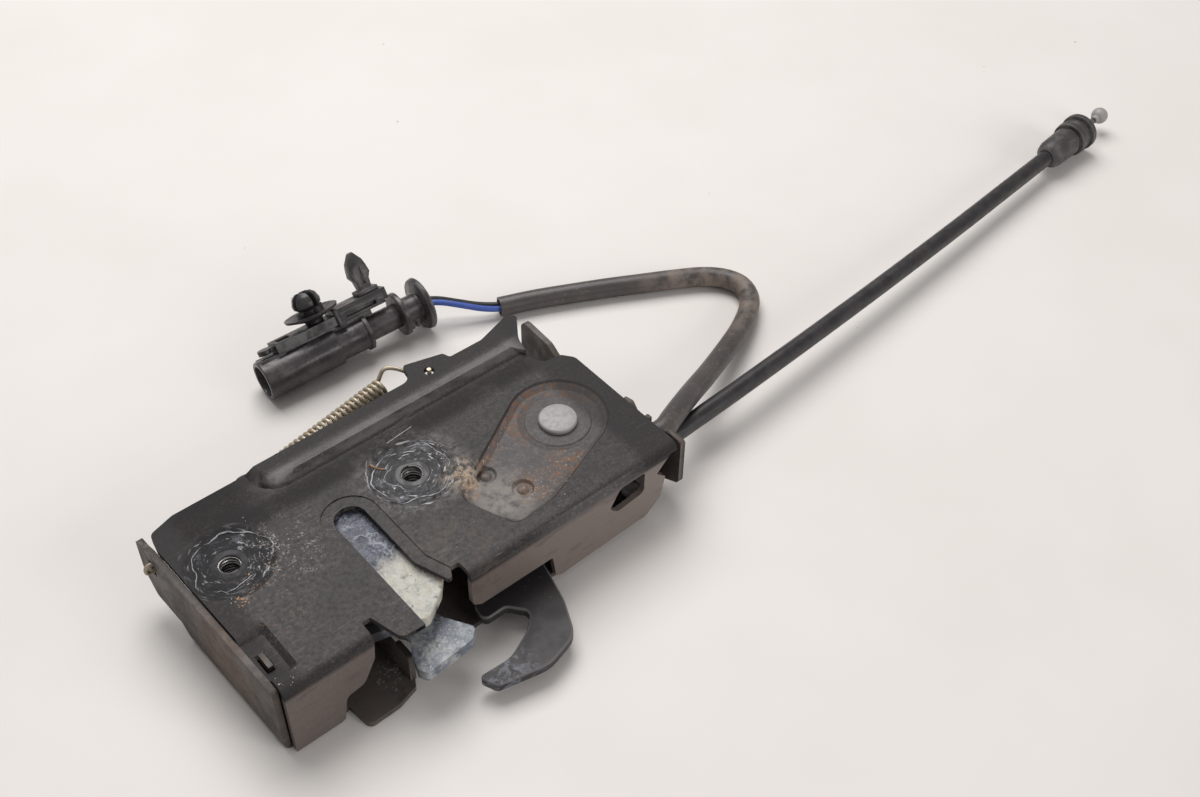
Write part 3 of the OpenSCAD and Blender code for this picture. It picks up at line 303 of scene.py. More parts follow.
    def done(self):
        if isinstance(self.colour, bpy.types.NodeSocket):
            self.link(self.colour, self.shader.inputs["Base Color"])
        if self.rough is not None:
            self.link(self.rough, self.shader.inputs["Roughness"])
        if self.height is not None:
            bump = self.node("ShaderNodeBump")
            bump.inputs["Strength"].default_value = 1
            bump.inputs["Distance"].default_value = mm
            self.link(self.height, bump.inputs["Height"])
            self.link(bump.outputs[0], self.shader.inputs["Normal"])
        return self.material


# finishes of the latch

holes = {"left": (-36.5, -11, 29.4), "right": (24.9, -16, 29.4)}
rivetPlace = (74.5, -26.2, 27.6)


def greasyRing(f, hole, dark, strength):
    seed = hole[0]
    f.coat(f.spot(hole, 12.5, 2.2, 4), tone(18, 19, 25), dark)
    smear = f.both(f.ring(hole, 9.8, 4.2, 4), f.strokes(hole, 2.2, 2.4, 0.52, 0.74, seed))
    f.coat(smear, tone(138, 143, 153), strength * 0.6)
    streaks = f.both(f.ring(hole, 9.8, 4.4, 4), f.strokes(hole, 3, 0.9, 0.58, 0.7, seed + 5))
    f.coat(streaks, tone(222, 223, 226), strength)
    f.lift(smear, 0.05)
    f.lift(streaks, 0.07)


rustPlaces = [((57, -14, 28), 5, 0.45), ((50, -19.5, 28), 4.5, 0.4), ((43, -25, 28), 4.5, 0.45),
              ((35.5, -30.5, 28), 4, 0.7), ((65, -44, 28), 7, 0.5), ((51, -43, 28), 6, 0.4)]


def caseCoat():
    f = Finish("caseCoat", tone(33, 29, 30), 0.46)
    f.shader.inputs["Specular IOR Level"].default_value = 0.32
    f.coat(f.cloud(40, 0.38, 0.68), tone(42, 38, 38), 0.6)
    f.coat(f.cloud(9, 0.5, 0.72, seed=0.3), tone(28, 27, 29), 0.45)

    # fine dust over everything, thicker in places, and light rubs
    dust = f.both(f.cloud(0.8, 0.46, 0.64, seed=0.6, detail=8), f.cloud(16, 0.26, 0.6, seed=0.8))
    f.coat(dust, tone(100, 88, 83), 0.27)
    motes = f.both(f.cloud(0.6, 0.62, 0.7, seed=1), f.cloud(16, 0.46, 0.64, seed=1.1))
    f.coat(motes, tone(164, 155, 148), 0.45)
    f.coat(f.cloud(1.1, 0.58, 0.68, seed=1.4, detail=8), tone(24, 23, 25), 0.22)
    rubs = f.both(f.cloud(2.2, 0.6, 0.68, seed=1.7, stretch=(0.16, 1.5, 1)),
                  f.cloud(22, 0.42, 0.6, seed=1.9))
    f.coat(rubs, tone(120, 114, 112), 0.3)

    # near wall: painted paler below its fold, a painted reflection of the table, and palest at the right;
    # fine dust and dark scuffs over it
    wall = f.both(f.band("Y", -63, -57.3, 0.2), f.band("Z", -5, 25.6, 1.2))
    f.coat(wall, tone(112, 102, 97), 0.7)
    f.coat(f.both(wall, f.band("X", 40, 200, 50)), tone(130, 119, 113), 0.7)
    f.coat(f.both(wall, f.cloud(1, 0.46, 0.68, seed=0.9)), tone(118, 108, 103), 0.25)
    scuffs = f.both(wall, f.cloud(4, 0.54, 0.7, seed=1.2, stretch=(0.25, 1, 1.4)))
    f.coat(scuffs, tone(48, 44, 43), 0.4)

    # recess: grey dust, chalk at its near end, rust along its rim and round the far half of the rivet
    low = f.band("Z", 24, 29.3, 0.2)
    field = f.both(f.spot((62, -32, 27.6), 32, 6, 6), low)
    f.coat(field, tone(88, 84, 84), 0.65)
    f.coat(f.both(field, f.cloud(1.4, 0.5, 0.68, seed=1.1)), tone(120, 113, 109), 0.4)
    chalk = f.both(f.spot((41, -41, 27.6), 9, 7, 6), low, f.cloud(4, 0.32, 0.56, seed=5.8))
    f.coat(chalk, tone(150, 143, 137), 0.6)
    halo = f.both(f.ring(rivetPlace, 14, 2.4, 3), f.band("Y", -28, 10, 3),
                  f.cloud(3, 0.42, 0.6, seed=1.3), low)
    f.coat(halo, tone(104, 74, 54), 0.7)
    for place, radius, strength in rustPlaces:
        patch = f.spot(place, radius, 3, 6)
        stain = f.both(patch, low, f.cloud(3, 0.42, 0.62, seed=place[0] * mm))
        f.coat(stain, tone(118, 80, 54), min(1, strength * 1.4))
        crust = f.both(patch, low, f.cloud(1.1, 0.56, 0.66, seed=place[1] * mm))
        f.coat(crust, tone(182, 164, 138), min(1, strength * 1.2))
        f.lift(crust, 0.04)

    greasyRing(f, holes["left"], 0.9, 0.7)
    greasyRing(f, holes["right"], 0.85, 1.0)

    # pale haze outside the right seat, and crust between it and the recess
    haze = f.both(f.ring(holes["right"], 14, 4, 5), f.cloud(3, 0.42, 0.62, seed=6.1, twist=1))
    f.coat(haze, tone(150, 147, 147), 0.22)
    crusty = f.both(f.spot((36, -27, 29), 5.5, 4, 6), f.cloud(2, 0.4, 0.58, seed=6.4))
    f.coat(crusty, tone(172, 154, 134), 0.75)
    f.lift(crusty, 0.08)

    # powder between the left fixing and the slot, brown film beside the mouth
    powder = f.both(f.spot((-22, -16, 30), 12, 9, 8), f.cloud(4, 0.46, 0.62, seed=2.1),
                    f.cloud(0.7, 0.5, 0.62, seed=2.2))
    f.coat(powder, tone(186, 181, 176), 0.6)
    freckles = f.both(f.spot((-36, -32, 30), 15, 9, 6), f.cloud(1.4, 0.54, 0.66, seed=2.4))
    f.coat(freckles, tone(112, 90, 74), 0.4)
    film = f.both(f.spot((14, -50, 30), 16, 8, 6), f.cloud(5, 0.42, 0.62, seed=2.6))
    f.coat(film, tone(80, 68, 60), 0.5)
    f.coat(f.both(f.worn(), f.cloud(4, 0.3, 0.56, seed=3.6)), tone(158, 152, 148), 0.65)
    f.gloss(f.cloud(1.6, 0.4, 0.7, seed=4), 0.56)

    # darker and duller: the far margin, the trough beside the strip, the far left corner and both ends, and
    # duller only on the left seat; the trough's darker colour is painted shade from the strip
    margin = f.band("Y", 11, 30, 1.2)
    shadedTrough = f.both(f.band("Y", -5, 3.2, 2.5), f.band("X", -33, 84, 4),
                    f.cloud(18, 0.22, 0.5, seed=5.1))
    corner = f.both(f.spot((-32, 10, 30), 15, 7, 6), f.band("Y", -2, 30, 2))
    leftEnd = f.both(f.band("X", -60, -42, 3), f.band("Z", 26, 40, 0.5))
    rightEnd = f.both(f.band("X", 83, 120, 2.5), f.band("Z", 26, 40, 0.5))
    for zone, dull in ((margin, 0.6), (shadedTrough, 0.72), (corner, 0.74), (leftEnd, 0.62),
                       (rightEnd, 0.62)):
        # darker coat on each zone; on the shaded trough it is painted shade
        f.coat(zone, tone(27, 25, 26), 0.5)
        f.gloss(zone, dull)
    f.gloss(f.spot(holes["left"], 11.5, 2.5, 4), 0.68)

    # rubbed along the top of the strip, and painted lighter there as a painted sheen
    crest = f.both(f.band("Z", 30.5, 34, 0.25), f.band("Y", 3, 9.6, 1), f.band("X", -14, 84, 4))
    rubAndSheen = f.both(crest, f.cloud(7, 0.3, 0.6, seed=5.5, stretch=(0.4, 1, 1)))
    f.coat(rubAndSheen, tone(92, 88, 88), 0.7)
    f.gloss(crest, 0.33)
    f.lift(f.cloud(0.9, 0.3, 0.7, seed=4.4), 0.025)
    f.lift(f.cloud(24, 0.3, 0.7, seed=4.8, detail=1), 0.06)
    return f.done()


def backSteel():
    f = Finish("backSteel", tone(78, 71, 68), 0.46)
    f.coat(f.cloud(16, 0.4, 0.66), tone(88, 76, 66), 0.6)
    f.coat(f.cloud(4, 0.5, 0.7, seed=0.4), tone(44, 41, 40), 0.6)
    freckles = f.both(f.cloud(1, 0.62, 0.7, seed=0.6), f.cloud(10, 0.42, 0.6, seed=0.8))
    f.coat(freckles, tone(136, 108, 82), 0.6)
    # left wall: darker, and rusty half way along
    side = f.band("X", -60, -46.5, 0.3)
    f.coat(side, tone(58, 51, 48), 0.7)
    f.coat(f.both(side, f.spot((-48.5, -30, 16), 14, 9, 9)), tone(98, 72, 54), 0.6)
    f.coat(f.both(side, f.cloud(1.2, 0.52, 0.68, seed=0.9)), tone(112, 96, 82), 0.4)
    f.coat(f.both(f.worn(), f.cloud(5, 0.42, 0.6, seed=1.1)), tone(124, 116, 110), 0.5)
    scribble = f.both(f.spot((-12, -56.5, 2), 5, 3, 3), f.cloud(2.4, 0.54, 0.64, seed=1.3, twist=2))
    f.coat(scribble, tone(190, 191, 196), 0.6)
    f.gloss(f.cloud(8, 0.4, 0.65, seed=1.6), 0.66)
    f.lift(f.cloud(1.1, 0.3, 0.7, seed=2), 0.02)
    return f.done()


def hookCoat():
    f = Finish("hookCoat", tone(38, 35, 36), 0.52)
    f.coat(f.cloud(15, 0.42, 0.7), tone(48, 45, 46), 0.6)
    tip = f.both(f.spot((6, -80, 6), 13, 6, 4), f.cloud(3, 0.45, 0.62, seed=0.5, twist=1))
    f.coat(tip, tone(112, 116, 126), 0.75)
    f.coat(f.worn(), tone(120, 119, 121), 0.5)
    freckles = f.both(f.cloud(1, 0.64, 0.7, seed=0.7), f.cloud(14, 0.45, 0.6, seed=0.9))
    f.coat(freckles, tone(146, 128, 110), 0.5)
    f.gloss(f.cloud(6, 0.4, 0.65, seed=1.2), 0.6)
    f.lift(f.cloud(0.8, 0.3, 0.7, seed=1.5), 0.012)
    return f.done()


def bareSteel(name, colour, roughness, stain, metallic=0.9):
    f = Finish(name, colour, roughness, metallic)
    f.coat(f.cloud(3.5, 0.42, 0.68, seed=0.2), stain, 0.6)
    f.coat(f.worn(), tone(178, 176, 172), 0.4)
    f.gloss(f.cloud(2, 0.4, 0.65, seed=0.6), min(1, roughness + 0.2))
    f.lift(f.cloud(0.6, 0.3, 0.7, seed=0.9), 0.01)
    return f.done()


def clawSteel():
    f = Finish("clawSteel", tone(52, 52, 56), 0.4)
    f.coat(f.cloud(9, 0.4, 0.64), tone(74, 75, 81), 0.6)
    jaw = f.both(f.band("X", -11, 40, 2), f.band("Y", -90, -30, 3))
    f.coat(f.both(jaw, f.cloud(9, 0.3, 0.5, seed=0.4)), tone(104, 113, 126), 0.9)
    f.coat(f.both(jaw, f.cloud(4, 0.4, 0.68, seed=0.8)), tone(176, 179, 180), 0.75)
    f.coat(f.both(jaw, f.cloud(1.8, 0.5, 0.7, seed=1)), tone(64, 74, 92), 0.65)
    f.coat(f.both(jaw, f.cloud(1, 0.56, 0.66, seed=1.1)), tone(204, 200, 186), 0.6)
    f.coat(f.both(jaw, f.cloud(0.9, 0.6, 0.66, seed=1.2)), tone(44, 45, 50), 0.8)
    f.gloss(jaw, 0.36)
    f.lift(f.both(jaw, f.cloud(6, 0.4, 0.68, seed=0.8, twist=1.4)), 0.08)
    return f.done()


def greasyCover():
    f = Finish("greasyCover", tone(62, 66, 80), 0.38)
    f.coat(f.cloud(5, 0.42, 0.64, twist=1), tone(85, 90, 107), 0.7)
    f.coat(f.cloud(0.8, 0.52, 0.66, seed=0.5), tone(132, 138, 154), 0.5)
    f.coat(f.both(f.wrinkle(3.2, 0.1), f.cloud(7, 0.48, 0.6, seed=0.3)), tone(176, 180, 190), 0.5)
    f.coat(f.cloud(0.9, 0.58, 0.66, seed=0.7), tone(44, 47, 58), 0.6)
    cream = f.both(f.spot((2, -53, 26), 15, 4, 10), f.cloud(6, 0.3, 0.42, seed=0.8))
    f.coat(cream, tone(192, 190, 181), 0.92)
    f.coat(f.both(cream, f.cloud(3, 0.46, 0.64, seed=1)), tone(160, 158, 152), 0.65)
    f.coat(f.both(cream, f.cloud(2.4, 0.56, 0.66, seed=1.2)), tone(188, 164, 116), 0.5)
    grit = f.both(f.cloud(2, 0.54, 0.66, seed=1.3, detail=8), f.cloud(7, 0.4, 0.6, seed=1.5))
    f.coat(grit, tone(58, 58, 62), 0.85)
    f.gloss(f.cloud(3, 0.4, 0.65, seed=1.8), 0.5)
    f.lift(f.cloud(0.9, 0.35, 0.68, seed=2.3), 0.04)
    return f.done()


def moulded(name, colour, roughness, dust, dustShare):
    f = Finish(name, colour, roughness)
    f.coat(f.cloud(6, 0.44, 0.66, seed=0.2), dust, dustShare)
    motes = f.both(f.cloud(0.9, 0.62, 0.7, seed=0.5), f.cloud(7, 0.44, 0.6, seed=0.7))
    f.coat(motes, dust, min(1, dustShare * 1.6))
    f.coat(f.worn(), dust, 0.35)
    f.gloss(f.cloud(4, 0.42, 0.66, seed=1.1), min(1, roughness + 0.2))
    f.lift(f.cloud(0.7, 0.3, 0.7, seed=1.5), 0.015)
    return f.done()


# the sleeve: dull black, brown dust at its bend
def sleeveBlack():
    f = Finish("sleeveBlack", tone(68, 63, 62), 0.36)
    f.coat(f.cloud(8, 0.44, 0.68, seed=0.2), tone(88, 81, 78), 0.5)
    bend = f.both(f.spot((178, 4, 4), 26, 14, 10), f.cloud(5, 0.36, 0.62, seed=0.4))
    f.coat(bend, tone(136, 122, 112), 0.7)
    motes = f.both(f.cloud(1, 0.58, 0.68, seed=0.7), f.cloud(16, 0.42, 0.6, seed=0.9))
    f.coat(motes, tone(142, 130, 120), 0.5)
    f.gloss(bend, 0.6)
    f.lift(f.cloud(0.7, 0.3, 0.7, seed=1.5), 0.03)
    return f.done()


def springWire():
    f = Finish("springWire", tone(186, 174, 154), 0.38, 0.55)
    f.coat(f.cloud(3, 0.46, 0.66), tone(128, 110, 88), 0.5)
    f.coat(f.cloud(1, 0.5, 0.7, seed=0.4), tone(196, 188, 172), 0.4)
    f.gloss(f.cloud(2, 0.4, 0.65, seed=0.8), 0.55)
    return f.done()


# grease and dirt that stand up from the plate
def dirt(name, colour, second, roughness):
    f = Finish(name, colour, roughness)
    f.coat(f.cloud(1.4, 0.42, 0.62, seed=0.3), second, 0.8)
    return f.done()


finishes = {
    "caseCoat": caseCoat(),
    "backSteel": backSteel(),
    "hookCoat": hookCoat(),
    "zinc": bareSteel("zinc", tone(158, 155, 155), 0.55, tone(146, 142, 141), 0.2),
    "studSteel": bareSteel("studSteel", tone(206, 203, 200), 0.45, tone(160, 156, 152), 0.1),
    "threadSteel": bareSteel("threadSteel", tone(176, 174, 172), 0.34, tone(110, 106, 104)),
    "collarDull": moulded("collarDull", tone(32, 31, 35), 0.62, tone(84, 83, 87), 0.3),
    "collarCoat": moulded("collarCoat", tone(44, 43, 46), 0.36, tone(104, 102, 104), 0.4),
    "pinSteel": bareSteel("pinSteel", tone(150, 148, 144), 0.38, tone(92, 88, 84)),
    "leverSteel": bareSteel("leverSteel", tone(90, 86, 83), 0.46, tone(58, 52, 48), 0.6),
    "clawSteel": clawSteel(),
    "greasyCover": greasyCover(),
    "switchBlack": moulded("switchBlack", tone(34, 34, 36), 0.48, tone(92, 86, 81), 0.2),
    "plungerWhite": moulded("plungerWhite", tone(206, 202, 190), 0.5, tone(160, 150, 132), 0.4),
    "sleeveBlack": sleeveBlack(),
    "blueInsulation": moulded("blueInsulation", tone(58, 84, 164), 0.4, tone(86, 104, 164), 0.3),
    "blackInsulation": moulded("blackInsulation", tone(30, 30, 32), 0.4, tone(74, 72, 70), 0.25),
    "cableBlack": moulded("cableBlack", tone(40, 38, 40), 0.3, tone(74, 70, 68), 0.25),
    "fittingPlastic": moulded("fittingPlastic", tone(56, 54, 55), 0.45, tone(118, 112, 108), 0.35),
    "connectorGloss": moulded("connectorGloss", tone(60, 56, 59), 0.27, tone(118, 111, 111), 0.35),
    "clipMatte": moulded("clipMatte", tone(42, 40, 42), 0.36, tone(104, 97, 94), 0.25),
    "terminalBrass": bareSteel("terminalBrass", tone(196, 164, 98), 0.3, tone(140, 110, 60)),
    "springWire": springWire(),
    "greaseBead": dirt("greaseBead", tone(176, 178, 184), tone(104, 107, 115), 0.3),
    "paleCrumb": dirt("paleCrumb", tone(206, 200, 190), tone(168, 158, 144), 0.6),
    "rustCrumb": dirt("rustCrumb", tone(178, 142, 110), tone(122, 88, 62), 0.8),
    "darkCrumb": dirt("darkCrumb", tone(52, 48, 46), tone(30, 29, 29), 0.6),
}
print("finishes made:", len(finishes))


# the solids, with their sharp corners broken and shaded smooth

dressed = {
    "caseCoat": {"front_plate": 0.5},
    "backSteel": {"back_plate": 0.35},
    "hookCoat": {"safety_hook": 0.6},
    "zinc": {"main_rivet": 0.25, "lever_nipple": 0.2, "ball_nipple": 0.1},
    "studSteel": {"release_stud": 0.15},
    "collarDull": {"weld_nut": 0.2},
    "collarCoat": {"threaded_bush": 0.2},
    "pinSteel": {"claw_pin": 0.2, "claw_circlip": 0.1, "hook_pin": 0.2, "pawl_spacer": 0.2,
                 "switch_screws": 0.15},
    "leverSteel": {"pawl": 0.4, "release_lever": 0.35},
    "clawSteel": {"claw_plate": 0.5},
    "greasyCover": {"claw_cover": 0.6},
    "switchBlack": {"switch_body": 0.4, "switch_cover": 0.3},
    "plungerWhite": {"switch_plunger": 0.1},
    "cableBlack": {"cable_ferrule": 0.2},
    "fittingPlastic": {"end_fitting": 0.3, "end_collar": 0.2},
    "connectorGloss": {"connector_housing": 0.25, "connector_cap": 0.3},
    "clipMatte": {"clip_carrier": 0.25, "rosette_clip": 0.2, "fir_tree_clip": 0.3},
    "terminalBrass": {"terminal_pins": 0.1},
}
smoothAngle = math.radians(32)
creaseAngle = math.radians(50)
broadFace = 1.2  # area over border, in mm
weld = {"gap": 0.000002, "flat": math.radians(0.4)}


def linked(name, mesh):
    piece = bpy.data.objects.new(name, mesh)
    scene.collection.objects.link(piece)
    return piece


# the piece as its modifiers leave it, as a plain mesh
def applied(piece):
    ready = piece.evaluated_get(bpy.context.evaluated_depsgraph_get())
    made = bpy.data.meshes.new_from_object(ready)
    piece.modifiers.clear()
    return made


def paint(mesh, material):
    mesh.materials.clear()
    mesh.materials.append(material)


def setInputs(modifier, tree, values):
    modifier.node_group = tree
    for item in tree.interface.items_tree:
        if item.in_out == "INPUT" and item.name in values:
            modifier[item.identifier] = values[item.name]


# broad faces keep their own normal, so that a broken corner doesn't shade across them
def flattenFaces(mesh):
    normals = [n.vector.copy() for n in mesh.corner_normals]
    for face in mesh.polygons:
        around = [mesh.vertices[v].co for v in face.vertices]
        border = sum((b - a).length for a, b in zip(around, around[1:] + around[:1]))
        if face.area > broadFace * mm * border:
            for corner in face.loop_indices:
                normals[corner] = face.normal.copy()
    mesh.normals_split_custom_set(normals)


def dressNode(name, material, width):
    mesh = nodes[name].data.copy()
    paint(mesh, material)
    mesh.materials.append(material)  # the second slot marks the broken corners
    bm = bmesh.new()
    bm.from_mesh(mesh)
    bmesh.ops.remove_doubles(bm, verts=bm.verts, dist=weld["gap"])
    bmesh.ops.dissolve_limit(bm, angle_limit=weld["flat"], verts=bm.verts, edges=bm.edges)
    for face in bm.faces:
        face.material_index = 0
        face.smooth = True
    bm.to_mesh(mesh)
    bm.free()
    piece = linked(name + "Body", mesh)
    bevel = piece.modifiers.new("brokenCorners", "BEVEL")
    bevel.width = width * mm
    bevel.segments = 2
    bevel.limit_method = "ANGLE"
    bevel.angle_limit = smoothAngle
    bevel.material = 1
    bevel.miter_outer = "MITER_ARC"
    made = applied(piece)
    wear = made.attributes.new("wear", "FLOAT", "FACE")
    wear.data.foreach_set("value", [float(p.material_index) for p in made.polygons])
    made.polygons.foreach_set("material_index", [0] * len(made.polygons))
    paint(made, material)
    made.set_sharp_from_angle(angle=creaseAngle)
    flattenFaces(made)
    made.name = name + "Body"
    piece.data = made
    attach(piece, bodyOf[name])
    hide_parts(name)
    return piece


bodyPieces = {}
for finish, group in dressed.items():
    for name, width in group.items():
        bodyPieces[name] = dressNode(name, finishes[finish], width)
print("solids dressed:", len(bodyPieces))


# the greased cover: remeshed finely, its top worked up into folds and clots

skin = {"voxel": 0.45, "top": 26.7, "depth": 1.2, "fold": 0.22, "clot": 0.4}


def greaseFolds(piece):
    fine = piece.modifiers.new("fine", "REMESH")
    fine.mode = "VOXEL"
    fine.voxel_size = skin["voxel"] * mm
    made = applied(piece)
    normals = [v.normal.copy() for v in made.vertices]
    for v, n in zip(made.vertices, normals):
        if n.z < 0.3 or v.co.z < (skin["top"] - skin["depth"]) * mm:
            continue
        p = v.co / mm
        fold = 1 - min(1, abs(noise.noise(p * 0.32)) * 6)
        clot = max(0, noise.fractal(p * 0.55, 1, 2, 3))
        v.co += n * (skin["fold"] * fold + skin["clot"] * clot) * mm
    made.shade_smooth()
    made.name = piece.data.name
    piece.data = made


greaseFolds(bodyPieces["claw_cover"])
print("cover greased")


# wire swept along a path: one node tree for springs, threads, wires, sheaths and grease beads

def sweepTree():
    tree = bpy.data.node_groups.new("wireSweep", "GeometryNodeTree")
    face = tree.interface
    face.new_socket("Path", in_out="INPUT", socket_type="NodeSocketGeometry")
    face.new_socket("Radius", in_out="INPUT", socket_type="NodeSocketFloat")
    face.new_socket("Sides", in_out="INPUT", socket_type="NodeSocketInt")
    face.new_socket("Material", in_out="INPUT", socket_type="NodeSocketMaterial")
    face.new_socket("Wire", in_out="OUTPUT", socket_type="NodeSocketGeometry")
    start = tree.nodes.new("NodeGroupInput")
    end = tree.nodes.new("NodeGroupOutput")
    curve = tree.nodes.new("GeometryNodeMeshToCurve")
    ring = tree.nodes.new("GeometryNodeCurvePrimitiveCircle")
    tube = tree.nodes.new("GeometryNodeCurveToMesh")
    swell = tree.nodes.new("GeometryNodeInputNamedAttribute")
    swell.data_type = "FLOAT"
    swell.inputs["Name"].default_value = "swell"
    smooth = tree.nodes.new("GeometryNodeSetShadeSmooth")
    real = tree.nodes.new("GeometryNodeRealizeInstances")
    paint = tree.nodes.new("GeometryNodeSetMaterial")
    tube.inputs["Fill Caps"].default_value = True
    join = tree.links.new
    join(start.outputs["Path"], curve.inputs[0])
    join(start.outputs["Radius"], ring.inputs["Radius"])
    join(start.outputs["Sides"], ring.inputs["Resolution"])
    join(curve.outputs[0], tube.inputs["Curve"])
    join(ring.outputs[0], tube.inputs["Profile Curve"])
    join(swell.outputs["Attribute"], tube.inputs["Scale"])
    join(tube.outputs[0], smooth.inputs[0])
    join(smooth.outputs[0], real.inputs[0])
    join(real.outputs[0], paint.inputs["Geometry"])
    join(start.outputs["Material"], paint.inputs["Material"])
    join(paint.outputs[0], end.inputs[0])
    return tree


wireSweep = sweepTree()


def sweptWires(name, paths, radius, sides, material, swelling=None):
    line = bpy.data.meshes.new(name)
    points = []
    edges = []
    for path in paths:
        edges += [(len(points) + i, len(points) + i + 1) for i in range(len(path) - 1)]
        points += [tuple(p) for p in path]
    line.from_pydata(points, edges, [])
    swell = line.attributes.new("swell", "FLOAT", "POINT")
    swell.data.foreach_set("value", swelling or [1.0] * len(points))
    piece = linked(name, line)
    sweep = piece.modifiers.new("sweep", "NODES")
    setInputs(sweep, wireSweep, {"Radius": radius, "Sides": sides, "Material": material})
    made = applied(piece)
    bm = bmesh.new()
    bm.from_mesh(made)
    bmesh.ops.recalc_face_normals(bm, faces=bm.faces)
    bm.to_mesh(made)
    bm.free()
    made.set_sharp_from_angle(angle=creaseAngle)
    paint(made, material)
    piece.data = made
    return piece


def sweptWire(name, path, radius, sides, material):
    return sweptWires(name, [path], radius, sides, material)


fineSteps = 24


# a smooth line through the route's points, with even steps
def smoothLine(points, step):
    pts = [Vector(p) * mm for p in points]
    ends = [pts[0] * 2 - pts[1]] + pts + [pts[-1] * 2 - pts[-2]]
    fine = []
    for i in range(1, len(ends) - 2):
        a, b, c, d = ends[i - 1:i + 3]
        for k in range(fineSteps):
            t = k / fineSteps
            fine.append(0.5 * (2 * b + (c - a) * t + (2 * a - 5 * b + 4 * c - d) * t * t
                               + (3 * b - a - 3 * c + d) * t ** 3))
    fine.append(pts[-1])
    gaps = [(q - p).length for p, q in zip(fine, fine[1:])]
    total = sum(gaps)
    count = max(8, round(total / (step * mm)))
    out = [fine[0]]
    walked = 0.0
    index = 0
    for n in range(1, count):
        goal = total * n / count
        while walked + gaps[index] < goal:
            walked += gaps[index]
            index += 1
        out.append(fine[index].lerp(fine[index + 1], (goal - walked) / gaps[index]))
    out.append(fine[-1])
    return out, total


# the pull cable, the lead's sleeve and its two wires

cable = {
    "radius": 3.2,
    "sides": 24,
    "step": 3,
    "route": [(102.5, -45.5, 13.75), (116.5, -44.6, 13.4), (136.5, -43.3, 12.9), (156.5, -41.8, 12.4),
              (176.5, -40.2, 11.9), (196.5, -38.5, 11.4), (216.5, -36.7, 10.9), (236.5, -34.8, 10.4),
              (256.5, -32.8, 9.9), (276.5, -30.7, 9.4), (296.5, -28.5, 9.0), (316.5, -26.3, 8.6),
              (335.5, -24.2, 8.3)],
}
sleeve = {
    "radius": 3.75,
    "wall": 0.7,
    "sides": 24,
    "step": 2,
    "route": [(98, -47, 22.6), (102, -47, 22.6), (108.5, -44, 21.2), (116.5, -40.4, 19.4),
              (125.5, -36, 16.2), (136.5, -31, 12.6), (147.5, -26, 9.8), (158.5, -21, 7.6),
              (168.5, -16, 5.6), (177.5, -10.5, 4.6), (183.5, -5, 4), (185.9, 2, 4), (183.5, 9, 4),
              (177.5, 15, 4), (168.5, 20.5, 4), (157.5, 26.5, 4), (145.5, 33, 4), (133.5, 39, 4),
              (121, 45, 4), (108.5, 50, 4)],
}
wires = {
    "radius": 1.1,
    "sides": 14,
    "step": 1.5,
    "blueWire": [(120.6, 43.9, 4.2), (114, 46.6, 4.2), (108.1, 48.9, 4.2), (102.1, 52, 5.6),
                 (96.1, 56, 7.8), (90.1, 60.4, 9.6), (84.9, 63.1, 10.2), (78.5, 64, 10), (72, 64.4, 9.6),
                 (66, 64.3, 9.4)],
    "blackWire": [(121.4, 46.1, 4.2), (115, 48.6, 4.2), (108.9, 51.1, 4.2), (102.5, 55, 5.2),
                  (96.5, 59.4, 7), (90.5, 63.4, 9), (84.9, 65.4, 10.1), (78.5, 66.2, 9.9),
                  (72, 66.6, 9.5), (66, 66.6, 9.3)],
}


def hollowTube(name, line, outer, inner, sides, material):
    bm = bmesh.new()
    angles = [tau * k / sides for k in range(sides)]
    rings = []
    for i, p in enumerate(line):
        ahead = (line[min(i + 1, len(line) - 1)] - line[max(i - 1, 0)]).normalized()
        side = ahead.cross(Vector((0, 0, 1))).normalized()
        top = side.cross(ahead)
        for radius in (outer, inner):
            spokes = [side * math.cos(w) + top * math.sin(w) for w in angles]
            rings.append([bm.verts.new(p + radius * spoke) for spoke in spokes])
    outerRings = rings[0::2]
    innerRings = rings[1::2]
    pairs = list(zip(outerRings, outerRings[1:]))
    pairs += zip(innerRings, innerRings[1:])
    pairs += [(outerRings[end], innerRings[end]) for end in (0, -1)]
    for a, b in pairs:
        for k in range(sides):
            bm.faces.new((a[k], a[(k + 1) % sides], b[(k + 1) % sides], b[k]))
    bmesh.ops.recalc_face_normals(bm, faces=bm.faces)
    mesh = bpy.data.meshes.new(name)
    bm.to_mesh(mesh)
    bm.free()
    mesh.shade_smooth()
    mesh.set_sharp_from_angle(angle=creaseAngle)
    mesh.materials.append(material)
    return linked(name, mesh)


cableLine, cableLength = smoothLine(cable["route"], cable["step"])
cableSheath = sweptWire("cableSheath", cableLine, cable["radius"] * mm, cable["sides"],
                        finishes["cableBlack"])
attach(cableSheath, "frame")
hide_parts("cable_outer")

sleeveLine, sleeveLength = smoothLine(sleeve["route"], sleeve["step"])
sleeveTube = hollowTube("sleeveTube", sleeveLine, sleeve["radius"] * mm,
                        (sleeve["radius"] - sleeve["wall"]) * mm, sleeve["sides"], finishes["sleeveBlack"])
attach(sleeveTube, "frame")
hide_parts("wiring_sleeve")

for name, node, finish, slot in (("blueWire", "wire_blue", "blueInsulation", "blue_insulation"),
                                 ("blackWire", "wire_black", "blackInsulation", "black_insulation")):
    line, length = smoothLine(wires[name], wires["step"])
    wire = sweptWire(name, line, wires["radius"] * mm, wires["sides"], finishes[finish])
    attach(wire, "frame")
    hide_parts(node)
print("cords laid")

for name, finish in (("switch_lead", "sleeveBlack"), ("cable_wire", "pinSteel")):
    paint(nodes[name].data, finishes[finish])


# springs, wound as the solids are and stretched between the bodies they join

